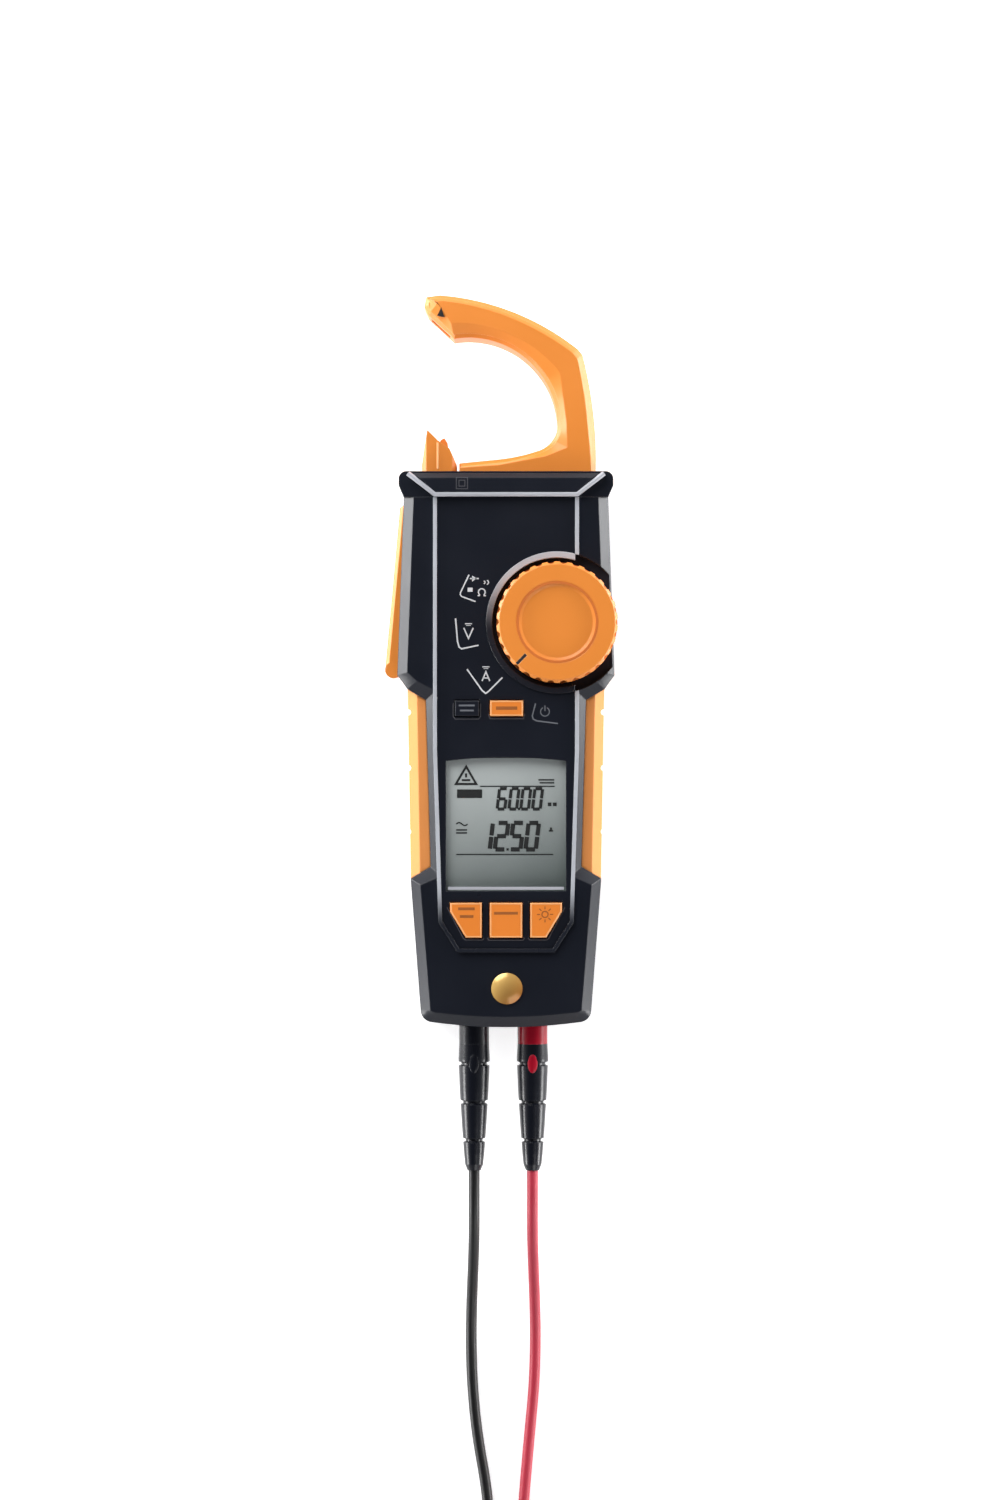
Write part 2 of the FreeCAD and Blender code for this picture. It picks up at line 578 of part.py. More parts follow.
keep("moving_jaw", cut("slider_hollow", fuse("slider_whole", slider, tongue, guide),
                       plate("slider_core_room", CORE_BAR, core_low, core_high)))
keep("moving_core", plate("moving_core_stack", CORE_BAR, core_low, core_high))


# ---- Trigger, gear and rack ------------------------------------------------------------------

TOOTH_HIGH, TOOTH_DEEP, TOOTH_HALF, TOOTH_LEAN = 0.7, 1.0, 0.55, 0.36


def tooth(radius, turn):
    """A tooth's four corners about the origin, as it stands on a wheel of that pitch radius."""
    unit, module = math.radians(turn), num("module")
    out, side = Vector(math.cos(unit), math.sin(unit), 0), Vector(-math.sin(unit),
                                                                   math.cos(unit), 0)
    foot, crest = -TOOTH_DEEP * module, TOOTH_HIGH * module
    return [out * (radius + rise) + side * (way * (TOOTH_HALF - TOOTH_LEAN * rise / module))
            for way, rise in ((-1, foot), (-1, crest), (1, crest), (1, foot))]


def face_of(points, z):
    lifted = [Vector(p.x, p.y, z) for p in points]
    return Part.Face(Part.makePolygon(lifted + lifted[:1]))


def toothed(radius, turns, centre, low, high):
    """The outline of a wheel, or of the stretch of it that the turns cover, as one solid."""
    points = [corner + centre for turn in turns for corner in tooth(radius, turn)]
    return face_of(points, low).extrude(Vector(0, 0, high - low))


def feature(name, shape):
    part = doc.addObject("Part::Feature", name)
    part.Shape = shape
    return part


pivot = Vector(num("pivot_x"), num("pivot_y"), 0)
axle = Vector(num("gear_x"), num("gear_y"), 0)
line_of_centres = math.degrees(math.atan2(axle.y - pivot.y, axle.x - pivot.x))
pinion_teeth = round(2 * num("pinion_rad") / num("module"))
gear_teeth = round(2 * num("gear_rad") / num("module"))
pinion_step, gear_step = 360 / pinion_teeth, 360 / gear_teeth
sector_step = 360 * num("module") / (2 * num("sector_rad"))

pinion = toothed(num("pinion_rad"), [line_of_centres + 180 + pinion_step * (i + 0.5)
                                     for i in range(pinion_teeth)], axle, 6.9, 9.8)
hub = Part.makeCylinder(2.9, 5.3, axle + Vector(0, 0, 9.8))
wheel = toothed(num("gear_rad"), [gear_step * i for i in range(gear_teeth)], axle, 15, 18)
gear_bore = Part.makeCylinder(num("bore_rad"), 20, axle)
keep("drive_gear", feature("gear", pinion.fuse([hub, wheel]).cut(gear_bore).removeSplitter()))
keep("gear_axle", rod("axle_pin", ("gear_x", "gear_y", "3"), "pin_rad", "15.3"))

SECTOR_FIRST, SECTOR_LAST = -1, 6
sector_turns = [line_of_centres + sector_step * i for i in range(SECTOR_FIRST, SECTOR_LAST + 1)]
arc = toothed(num("sector_rad"), sector_turns, pivot, 7.1, 9.6)
web_edge = num("sector_rad") - TOOTH_DEEP * num("module") + 0.05
web_points = [pivot + Vector(1.6 * way * math.sin(math.radians(line_of_centres)),
                             -1.8 * way * math.cos(math.radians(line_of_centres)), 0)
              for way in (1, -1)]
web_turns = [sector_turns[-1] + 0.6, sector_turns[0] - 0.6]
web_points += [pivot + Vector(math.cos(math.radians(t)), math.sin(math.radians(t)), 0) * web_edge
               for t in web_turns]
web = face_of([web_points[1], web_points[2], web_points[3], web_points[0]], 7.1).extrude(
    Vector(0, 0, 2.5))
eye = Part.makeCylinder(num("boss_rad"), 2.5, pivot + Vector(0, 0, 7.1))
rim = face_of([pivot + Vector(math.cos(math.radians(t)), math.sin(math.radians(t)), 0) * r
               for t, r in [(t, web_edge + 0.02) for t in sector_turns]
               + [(t, web_edge - 4) for t in reversed(sector_turns)]], 7.1).extrude(
    Vector(0, 0, 2.5))
pivot_bore = Part.makeCylinder(num("pivot_rad") + 0.05, 30, pivot)
keep("trigger_sector", feature("sector", rim.fuse([arc, web, eye]).cut(pivot_bore)))

rack_x = num("gear_x") + num("gear_rad")
rack_step = math.pi * num("module")
rack_low, rack_high = num("rack_end_y"), 35.0
rack_solid = Part.makeBox(3.2, rack_high - rack_low, 3.7, Vector(rack_x + 1.0, rack_low, 15))
rack_teeth = []
for i in range(-13, 1):
    y = axle.y + rack_step * (i + 0.5)
    root, crest = rack_x + TOOTH_DEEP + 0.05, rack_x - TOOTH_HIGH
    half_root, half_crest = TOOTH_HALF + TOOTH_LEAN * TOOTH_DEEP, TOOTH_HALF - TOOTH_LEAN * TOOTH_HIGH
    rack_teeth.append(face_of([
        Vector(root, y - half_root, 0), Vector(crest, y - half_crest, 0),
        Vector(crest, y + half_crest, 0), Vector(root, y + half_root, 0)], 15).extrude(
        Vector(0, 0, 3.7)))
carriage = Part.makeBox(rack_x + 4.2 + 22.2, rack_high - rack_low, 2.0,
                        Vector(-22.2, rack_low, 18.6))
guide_y = num("jaw_end_y") - 9
stem = Part.makeBox(10.8, guide_y - 28.0, 2.0, Vector(-28.0, 28.0, 18.6))
foot = Part.makeBox(10.8, 1.6, 4.9, Vector(-28.0, guide_y - 1.6, 18.6))
keep("jaw_rack", feature("rack", rack_solid.fuse(rack_teeth + [carriage, stem, foot])))

blade = plate("blade", [
    ("-36.2", "82.6"), ("-34.6", "83.5"), ("-32.4", "83.5"), ("-33.6", "26.2"),
    ("-36.9", "24.9", "2.8"),
    ("-41.2", "28"), ("-38.7", "55")], "blade_low", "blade_high")
bevel(blade, "1.2", lambda e: abs(e.BoundBox.ZLength) < 1e-6 and e.BoundBox.YLength > 20
      and all(v.X < -35.5 for v in e.Vertexes))
CHEEK = [("-33.7", "62"), ("-30.6", "62"), ("-20.5", "27.5"), ("-20.5", "26.4"),
         ("-33.9", "26.4")]
keep("trigger", cut(
    "trigger_bored",
    fuse("trigger_whole", blade, plate("cheek_low", CHEEK, "blade_low", "blade_low + 1.5"),
         plate("cheek_high", CHEEK, "23.8", "25.3"),
         rod("trigger_boss", ("pivot_x", "pivot_y", "9.6"), "boss_rad", "16.9")),
    rod("trigger_bore", ("pivot_x", "pivot_y", "5"), "pivot_rad + 0.05", "30")))
keep("trigger_pin", rod("pivot_pin", ("pivot_x", "pivot_y", "3"), "pivot_rad", "28"))

COIL_START, COIL_STEP, WIRE = 3.6, 0.5, 0.35
coil_arcs = []
for half_turn in range(5):
    reach, way = COIL_START + COIL_STEP * half_turn, 1 if half_turn % 2 == 0 else -1
    middle = axle + Vector(0 if way > 0 else COIL_STEP, 0, 11.2)
    coil_arcs.append(Part.Arc(*[middle + Vector(way * reach * x, way * reach * y, 0)
                                for x, y in ((1, 0), (0, 1), (-1, 0))]).toShape())
wire_start = Part.Wire(Part.makeCircle(WIRE, axle + Vector(COIL_START, 0, 11.2), Vector(0, 1, 0)))
keep("return_spring", feature("spring", Part.Wire(coil_arcs).makePipeShell(
    [wire_start], True, False)))


# ---- Sockets, cells and fasteners ------------------------------------------------------------

keep("socket_block", cut(
    "sockets_bored", block("socket_body", ("-18", "-89", "11"), ("16.5", "-71.5", "25.8")),
    *[cut(f"{lead}_shroud_room",
          rod(f"{lead}_shroud_hole", (x, "-90", "socket_z"), "4.4", "16", "y"),
          rod(f"{lead}_shroud_core", (x, "-90", "socket_z"), "3.1", "17", "y"))
      for lead, x in LEADS.items()],
    *[rod(f"{lead}_tube_hole", (x, "-90", "socket_z"), "2.6", "20", "y")
      for lead, x in LEADS.items()]))
keep("socket_tubes", group("tubes", *[
    cut(f"{lead}_tube", rod(f"{lead}_tube_outer", (x, "-89", "socket_z"), "2.6", "17.5", "y"),
        rod(f"{lead}_tube_inner", (x, "-90", "socket_z"), "2.06", "30", "y"))
    for lead, x in LEADS.items()]))

cell_places = ["-cell_gap", "0", "cell_gap"]
keep("batteries", group("cells", *[
    fuse(f"cell_{i}", rod(f"can_{i}", (x, "cell_low", "cell_z"), "cell_rad",
                          "cell_high - cell_low - 0.8", "y"),
         rod(f"nub_{i}", (x, "cell_high - 0.8", "cell_z"), "1.9", "0.8", "y"))
    for i, x in enumerate(cell_places)]))
keep("battery_contacts", group("contacts", *[
    block(f"contact_{i}_{end}", (f"{x} - 4", low, "cell_z - 4.5"),
          (f"{x} + 4", f"{low} + 0.5", "cell_z + 4.5"))
    for i, x in enumerate(cell_places)
    for end, low in (("minus", "cell_low - 0.5"), ("plus", "cell_high"))]))
door = plate("door_plate", rectangle("-door_x", "door_low", "door_x", "door_high"),
             "0", "door_thick")
bevel(door, "0.4", at_height("0"))
keep("battery_door", cut("door_bored", door, rod("door_hole", ("0", "door_screw", "-1"),
                                                  "1.5", "5"),
                         rod("door_sink", ("0", "door_screw", "-1"), "2.7", "2.2")))


def screw(name, x, y, seat, length, head_rad):
    """A pan-head screw that points up, with its head just below its seat."""
    head = rod(name + "_head", (x, y, f"{seat} - 1"), head_rad, "1")
    cross = [block(f"{name}_cross_{i}", (f"{x} - {w}", f"{y} - {d}", f"{seat} - 1.5"),
                   (f"{x} + {w}", f"{y} + {d}", f"{seat} - 0.5"))
             for i, (w, d) in enumerate(((1.4, 0.3), (0.3, 1.4)))]
    return cut(name, fuse(name + "_solid", head, rod(name + "_shank", (x, y, seat), "1.2",
                                                      length)), *cross)


keep("door_screw", screw("door_fastener", "0", "door_screw", "1.2", "7", "2.5"))
keep("case_screws", group("case_fasteners", *[
    screw(f"case_screw_{i}", x, y, "4", "22", "2.6") for i, (x, y) in enumerate(CASE_SCREWS)]))


# ---- Test leads ------------------------------------------------------------------------------

GROOVES = (-107.6, -120.8, -133.8)
GRIP_TAPER = [(5.15, -100.8), (5.4, -106), (4.95, -117), (4.2, -129), (3.5, -138.5),
              (3.1, -142.2)]


def grip_radius(y):
    """The plug grip's radius at y, read along its taper."""
    for (r0, y0), (r1, y1) in zip(GRIP_TAPER, GRIP_TAPER[1:]):
        if y1 <= y <= y0:
            return r0 + (r1 - r0) * (y - y0) / (y1 - y0)
    return GRIP_TAPER[0][0]


def plug_grip(lead, x):
    """The tapered grip, with a groove of its own depth at each of three places."""
    stops = dict((y, r) for r, y in GRIP_TAPER)
    for y in GROOVES:
        for shift, deep in ((0.7, 0), (0.35, 0.9), (-0.35, 0.9), (-0.7, 0)):
            stops[y + shift] = grip_radius(y + shift) - deep
    outer = [(str(round(r, 3)), str(y)) for y, r in sorted(stops.items(), reverse=True)]
    profile = [("2.0", "-100.8")] + outer + [
        ("2.3", "plug_end"), ("0", "plug_end"), ("0", "-110"), ("2.0", "-110")]
    return turned(f"{lead}_grip_turned", x, "socket_z", profile)


def run_radii(points):
    """At each inner point, the largest arc that its two runs allow, and how far it turns."""
    radii = []
    for before, here, after in zip(points, points[1:], points[2:]):
        back, ahead = here - before, after - here
        turn = back.getAngle(ahead)
        radii.append((0.45 * min(back.Length, ahead.Length) / math.tan(turn / 2), turn))
    return radii


def tube(name, points, radius):
    """A cord's tube: straight runs joined by tangent arcs, each as large as its runs allow."""
    edges, last = [], points[0]
    bends = run_radii(points)
    for (before, here, after), (bend, turn) in zip(zip(points, points[1:], points[2:]), bends):
        back, ahead = (here - before).normalize(), (after - here).normalize()
        cut_back = bend * math.tan(turn / 2)
        start, end = here - back * cut_back, here + ahead * cut_back
        inward = (ahead - back).normalize()
        middle = here + inward * (bend / math.cos(turn / 2) - bend)
        edges += [Part.LineSegment(last, start).toShape(), Part.Arc(start, middle, end).toShape()]
        last = end
    edges.append(Part.LineSegment(last, points[-1]).toShape())
    path = Part.Wire(edges)
    ring = Part.Wire(Part.makeCircle(radius, points[0], points[1] - points[0]))
    solid = path.makePipeShell([ring], True, False)
    wanted = math.pi * radius**2 * path.Length
    print(f"{name}: length {path.Length:.1f}, radii {[round(b, 1) for b, _ in bends]}, "
          f"volume {solid.Volume:.1f} of {wanted:.1f}")
    return feature(name, solid)


def lead_route(x, side):
    """From the plug down to the floor and out to the coil: x, y and z of each point."""
    inward = side * (num("coil_x") - (num("coil_out") - num("cable_rad")))
    floor = num("cable_rad") + 0.1
    return [Vector(*p) for p in (
        (x, num("plug_end"), 20), (x, -155, 20), (x, -167, 16.6), (x + side * 0.4, -179, 10.6),
        (x + side * 0.9, -191, 5.2), (x + side * 1.2, -204, floor + 0.1),
        (x + side * 0.8, -220, floor), (x - side * 0.9, -238, floor),
        (inward + side * 1.6, -257, floor), (inward + side * 0.3, -276, floor + 0.1),
        (inward, num("coil_y"), num("coil_low") + num("cable_rad")))]


def tail_route(side):
    """From the top of the coil to the probe's boot."""
    inward = side * (num("coil_x") - (num("coil_out") - num("cable_rad")))
    top = num("coil_high") - num("cable_rad")
    return [Vector(*p) for p in (
        (inward, num("coil_y"), top), (inward + side * 0.4, -310.5, top + 0.2),
        (side * 8.0, -321, num("probe_z")), (side * 8.0, num("probe_y"), num("probe_z")))]


for lead, x in LEADS.items():
    side = -1 if lead == "black" else 1
    middle = f"{side}*coil_x"
    keep(f"{lead}_plug_grip", plug_grip(lead, x))
    keep(f"{lead}_plug_shroud", cut(
        f"{lead}_shroud", fuse(
            f"{lead}_shroud_whole",
            rod(f"{lead}_band", (x, "-100.8", "socket_z"), "plug_rad", "6.2", "y"),
            rod(f"{lead}_sleeve", (x, "-94.7", "socket_z"), "4.1", "18.5", "y")),
        rod(f"{lead}_sleeve_hole", (x, "-92", "socket_z"), "3.3", "20", "y"),
        rod(f"{lead}_pin_hole", (x, "-102", "socket_z"), "2.0", "20", "y")))
    keep(f"{lead}_plug_pin", rod(f"{lead}_pin", (x, "-110", "socket_z"), "2.0", "35", "y"))
    keep(f"{lead}_cable", group(
        f"{lead}_runs", tube(f"{lead}_run", lead_route(num(x), side), num("cable_rad")),
        tube(f"{lead}_tail", tail_route(side), num("cable_rad"))))
    ring = cut(f"{lead}_coil_ring",
               rod(f"{lead}_coil_disc", (middle, "coil_y", "coil_low"), "coil_out",
                   "coil_high - coil_low"),
               rod(f"{lead}_coil_eye", (middle, "coil_y", "coil_low - 1"), "coil_in", "12"))
    keep(f"{lead}_coil", ring)
    tie_y = "coil_y - (coil_in + coil_out)/2"
    keep(f"{lead}_coil_tie", cut(
        f"{lead}_tie_loop",
        block(f"{lead}_tie_out", (f"{middle} - 2", f"{tie_y} - 6.6", "coil_low - 0.6"),
              (f"{middle} + 2", f"{tie_y} + 6.6", "coil_high + 0.6")),
        block(f"{lead}_tie_in", (f"{middle} - 3", f"{tie_y} - 5.9", "coil_low"),
              (f"{middle} + 3", f"{tie_y} + 5.9", "coil_high"))))
    keep(f"{lead}_probe_handle", turned(f"{lead}_handle", f"{side}*8.0", "probe_z", [
        ("0", "probe_y"), ("2.4", "probe_y"), ("3.6", "probe_y - 9"), ("5.2", "probe_y - 14"),
        ("5.7", "probe_y - 40"), ("5.3", "probe_y - 66"), ("7.5", "probe_y - 70"),
        ("7.5", "probe_y - 73"), ("5.2", "probe_y - 75"), ("4.2", "probe_y - 90"),
        ("1.8", "probe_y - 98"), ("1.3", "probe_y - 98"), ("1.3", "probe_y - 80"),
        ("0", "probe_y - 80")]))
    keep(f"{lead}_probe_tip", turned(f"{lead}_tip", f"{side}*8.0", "probe_z", [
        ("0", "probe_y - 80"), ("1.3", "probe_y - 80"), ("1.3", "probe_y - 98"),
        ("1.0", "probe_y - 98"), ("1.0", "probe_y - 114"),
        ("0.25", "probe_y - 116.5"), ("0", "probe_y - 116.5")]))


# ---- Checks and files ------------------------------------------------------------------------

doc.recompute()
faults = [f"{o.Label}: {o.State}" for o in doc.Objects if {"Invalid", "Error"} & set(o.State)]
faults += [f"{name}: no sound shape" for name, part in nodes.items()
           if part.Shape.isNull() or not part.Shape.isValid() or not part.Shape.Solids]
if faults:
    raise RuntimeError("; ".join(faults))
os.makedirs("parts", exist_ok=True)
for name, part in nodes.items():
    part.Shape.exportStep(f"parts/{name}.step")
    print(f"{name}: {len(part.Shape.Solids)} solid(s), {part.Shape.Volume:.0f} mm3")
print(len(nodes), "nodes")
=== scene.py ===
"""A hand-held clamp meter on its back, with its two test leads: finishes, prints and cords."""
import json
import math

import bpy
import numpy as np
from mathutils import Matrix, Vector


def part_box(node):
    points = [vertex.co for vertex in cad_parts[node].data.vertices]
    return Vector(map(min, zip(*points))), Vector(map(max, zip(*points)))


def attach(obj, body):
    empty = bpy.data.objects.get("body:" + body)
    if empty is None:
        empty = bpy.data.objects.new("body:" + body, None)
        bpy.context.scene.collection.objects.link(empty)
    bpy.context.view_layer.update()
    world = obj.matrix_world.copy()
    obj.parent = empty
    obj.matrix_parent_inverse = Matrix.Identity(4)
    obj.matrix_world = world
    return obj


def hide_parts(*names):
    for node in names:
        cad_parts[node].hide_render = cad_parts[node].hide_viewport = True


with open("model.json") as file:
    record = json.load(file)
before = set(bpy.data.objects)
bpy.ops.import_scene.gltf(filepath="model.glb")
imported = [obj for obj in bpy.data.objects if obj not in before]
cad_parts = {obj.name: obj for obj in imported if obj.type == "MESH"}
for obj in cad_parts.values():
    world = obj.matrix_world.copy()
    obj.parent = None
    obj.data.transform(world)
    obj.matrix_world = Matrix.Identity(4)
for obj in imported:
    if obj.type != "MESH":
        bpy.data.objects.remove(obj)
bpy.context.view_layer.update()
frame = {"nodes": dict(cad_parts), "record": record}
MM = 0.001
NODES = frame["nodes"]
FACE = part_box("face_panel")[1].z
SIDES = {"black": -1, "red": 1}
# lengths below are in millimetres, except where a name says otherwise
# LIFT also sets the painted highlight lines round and under the keys into the face.
LIFT = 0.01  # how far a print's underside sinks into what it lies on
READING_GAP = 0.03  # between the liquid crystal and the strokes over it
SUNK_EDGE = 0.02  # how far a wide painted line sinks in
RIDGE_SINK, BEAD_SINK = 0.15, 0.75  # how far a bead's middle lies below the face it is on
SOCKET_X = {"black": -10.9, "red": 9.1}


# ---- Camera, floor and light -----------------------------------------------------------------

def look_down():
    """A long lens straight above the meter, just left of its centreline."""
    camera = bpy.data.objects.new("camera", bpy.data.cameras.new("camera"))
    camera.data.lens = 100
    camera.location = (-2.03 * MM, -0.17 * MM, 1.449)
    bpy.context.scene.collection.objects.link(camera)
    bpy.context.scene.camera = camera
    bpy.context.scene.view_settings.view_transform = "Standard"


def panel_light(name, place, size, watts, tint=(1, 1, 1)):
    """A soft rectangular light that faces the middle of the meter."""
    lamp = bpy.data.lights.new(name, "AREA")
    lamp.shape = "RECTANGLE"
    lamp.size, lamp.size_y = size
    lamp.energy = watts
    lamp.color = tint
    light = bpy.data.objects.new(name, lamp)
    light.location = place
    aim = -light.location
    aim.z += 0.03
    light.rotation_euler = aim.to_track_quat("-Z", "Y").to_euler()
    bpy.context.scene.collection.objects.link(light)


def studio():
    """Side strips, a high soft box and a sky that is dark overhead and pale all round."""
    panel_light("left_strip", (-0.72, 0.30, 0.07), (0.66, 0.26), 10)
    panel_light("right_strip", (0.72, 0.30, 0.07), (0.66, 0.26), 10)
    panel_light("left_low_strip", (-0.72, -0.33, 0.07), (0.30, 0.26), 3.6)
    panel_light("right_low_strip", (0.72, -0.33, 0.07), (0.30, 0.26), 3.6)
    panel_light("high_box", (-0.5, 0.85, 0.85), (0.9, 0.9), 14)
    panel_light("low_box", (0.5, -0.9, 0.9), (0.8, 0.8), 4)
    world = bpy.data.worlds.new("studio_sky")
    bpy.context.scene.world = world
    world.use_nodes = True
    tree = world.node_tree
    where = add(tree, "ShaderNodeTexCoord")
    height = add(tree, "ShaderNodeSeparateXYZ", {"Vector": where.outputs["Generated"]})
    ramp = add(tree, "ShaderNodeValToRGB", {"Fac": height.outputs["Z"]})
    ramp.color_ramp.elements[0].position = 0.25
    ramp.color_ramp.elements[0].color = (0.72, 0.72, 0.74, 1)
    ramp.color_ramp.elements[1].position = 0.8
    ramp.color_ramp.elements[1].color = (0.03, 0.03, 0.035, 1)
    tree.links.new(ramp.outputs["Color"], tree.nodes["Background"].inputs["Color"])


def lay_floor():
    """A pale sheet just under the meter."""
    half, level = 3.0, -0.2 * MM
    mesh = bpy.data.meshes.new("floor")
    mesh.from_pydata([(-half, -half, level), (half, -half, level), (half, half, level),
                      (-half, half, level)], [], [(0, 1, 2, 3)])
    floor = bpy.data.objects.new("floor", mesh)
    bpy.context.scene.collection.objects.link(floor)
    paper = bpy.data.materials.new("pale_paper")
    paper.use_nodes = True
    bsdf = paper.node_tree.nodes["Principled BSDF"]
    bsdf.inputs["Base Color"].default_value = (0.93, 0.93, 0.93, 1)
    bsdf.inputs["Roughness"].default_value = 0.9
    bsdf.inputs["Emission Color"].default_value = (1, 1, 1, 1)
    bsdf.inputs["Emission Strength"].default_value = 0.55
    mesh.materials.append(paper)


# ---- Shader building -------------------------------------------------------------------------

def add(tree, kind, inputs=None, **settings):
    """A node in a tree, with its settings, and each input given a value or another's output."""
    node = tree.nodes.new(kind)
    for name, value in settings.items():
        setattr(node, name, value)
    for name, value in (inputs or {}).items():
        if isinstance(value, bpy.types.NodeSocket):
            tree.links.new(value, node.inputs[name])
        else:
            node.inputs[name].default_value = value
    return node


def shader_group(name, inputs, outputs):
    """An empty group with its sockets: a number makes a value socket, four a colour."""
    group = bpy.data.node_groups.new(name, "ShaderNodeTree")
    for label, value in inputs.items():
        kind = "NodeSocketColor" if isinstance(value, tuple) else "NodeSocketFloat"
        group.interface.new_socket(label, in_out="INPUT", socket_type=kind).default_value = value
    for label, kind in outputs.items():
        group.interface.new_socket(label, in_out="OUTPUT", socket_type="NodeSocket" + kind)
    return group, group.nodes.new("NodeGroupInput"), group.nodes.new("NodeGroupOutput")


def arithmetic(tree, operation, *values):
    """The result of a sum on values or outputs."""
    return add(tree, "ShaderNodeMath", dict(enumerate(values)), operation=operation).outputs[0]


def moulding_group():
    """Moulded plastic: broad patches shift the colour and gloss a little, fine noise gives the
    grain, and the shading rounds sharp edges off."""
    group, enter, leave = shader_group(
        "moulding", {"Colour": (0.5, 0.5, 0.5, 1), "Patches": 0.15, "Grain Scale": 3000.0,
                     "Grain Depth": 0.00002, "Roughness": 0.4, "Spread": 0.1, "Edge": 0.0004},
        {"Colour": "Color", "Roughness": "Float", "Normal": "Vector"})
    where = add(group, "ShaderNodeTexCoord").outputs["Object"]
    broad = add(group, "ShaderNodeTexNoise", {"Vector": where, "Scale": 55, "Detail": 3})
    fine = add(group, "ShaderNodeTexNoise", {"Vector": where, "Detail": 2,
                                             "Scale": enter.outputs["Grain Scale"]})
    shift = arithmetic(group, "SUBTRACT", broad.outputs["Fac"], 0.5)
    lift = arithmetic(group, "MULTIPLY_ADD", shift, enter.outputs["Patches"], 1.0)
    coloured = add(group, "ShaderNodeVectorMath",
                   {0: enter.outputs["Colour"], "Scale": lift}, operation="SCALE")
    rough = arithmetic(group, "MULTIPLY_ADD", shift, enter.outputs["Spread"],
                       enter.outputs["Roughness"])
    rounded = add(group, "ShaderNodeBevel", {"Radius": enter.outputs["Edge"]}, samples=4)
    bump = add(group, "ShaderNodeBump", {"Height": fine.outputs["Fac"], "Strength": 0.6,
                                         "Distance": enter.outputs["Grain Depth"],
                                         "Normal": rounded.outputs["Normal"]})
    for label, socket in (("Colour", coloured.outputs[0]), ("Roughness", rough),
                          ("Normal", bump.outputs["Normal"])):
        group.links.new(socket, leave.inputs[label])
    return group


def edge_wear_and_highlight_group():
    """Edge wear from hands, and painted highlight where edges catch the light: a mask on edges,
    found where a rounded normal leaves the flat one, broken up by noise."""
    group, enter, leave = shader_group("edge_wear_and_highlight", {"Reach": 0.0006, "Amount": 0.5},
                                       {"Mask": "Float"})
    rounded = add(group, "ShaderNodeBevel", {"Radius": enter.outputs["Reach"]}, samples=4)
    flat = add(group, "ShaderNodeNewGeometry")
    alike = add(group, "ShaderNodeVectorMath", {0: rounded.outputs["Normal"],
                                                1: flat.outputs["Normal"]},
                operation="DOT_PRODUCT")
    edge = arithmetic(group, "SUBTRACT", 1.0, alike.outputs["Value"])
    where = add(group, "ShaderNodeTexCoord").outputs["Object"]
    specks = add(group, "ShaderNodeTexNoise", {"Vector": where, "Scale": 420, "Detail": 4})
    broken = arithmetic(group, "MULTIPLY", edge, specks.outputs["Fac"])
    strong = arithmetic(group, "MULTIPLY", broken, 9.0)
    mask = add(group, "ShaderNodeMath", {0: strong, 1: enter.outputs["Amount"]},
               operation="MULTIPLY", use_clamp=True)
    group.links.new(mask.outputs[0], leave.inputs["Mask"])
    return group


def blank(name):
    """A new material and its main shader."""
    material = bpy.data.materials.new(name)
    material.use_nodes = True
    return material, material.node_tree, material.node_tree.nodes["Principled BSDF"]


def moulded(name, colour, roughness, grain=(2600, 0.02), edge=0.4, patches=0.16, spread=0.12,
            wear_and_highlight=0.35, pale=None, **sockets):
    """A plastic or rubber finish. Lengths are in millimetres, and edges go paler, partly for
    wear and partly as painted highlight.
    """
    material, tree, bsdf = blank(name)
    skin = add(tree, "ShaderNodeGroup", node_tree=GROUPS["moulding"])
    for label, value in {"Colour": (*colour, 1), "Patches": patches, "Grain Scale": grain[0],
                         "Grain Depth": grain[1] * MM, "Roughness": roughness,
                         "Spread": spread, "Edge": edge * MM}.items():
        skin.inputs[label].default_value = value
    edge_mask = add(tree, "ShaderNodeGroup", {}, node_tree=GROUPS["edge_wear_and_highlight"])
    edge_mask.inputs["Amount"].default_value = wear_and_highlight
    edge_mask.inputs["Reach"].default_value = 1.4 * edge * MM
    lighter = pale or tuple(min(1, c * 1.5 + 0.01) for c in colour)
    mixed = add(tree, "ShaderNodeMix", {"Factor": edge_mask.outputs["Mask"],
                                        6: skin.outputs["Colour"], 7: (*lighter, 1)},
                data_type="RGBA")
    tree.links.new(mixed.outputs[2], bsdf.inputs["Base Color"])
    tree.links.new(skin.outputs["Roughness"], bsdf.inputs["Roughness"])
    tree.links.new(skin.outputs["Normal"], bsdf.inputs["Normal"])
    for label, value in sockets.items():
        bsdf.inputs[label].default_value = value
    return material


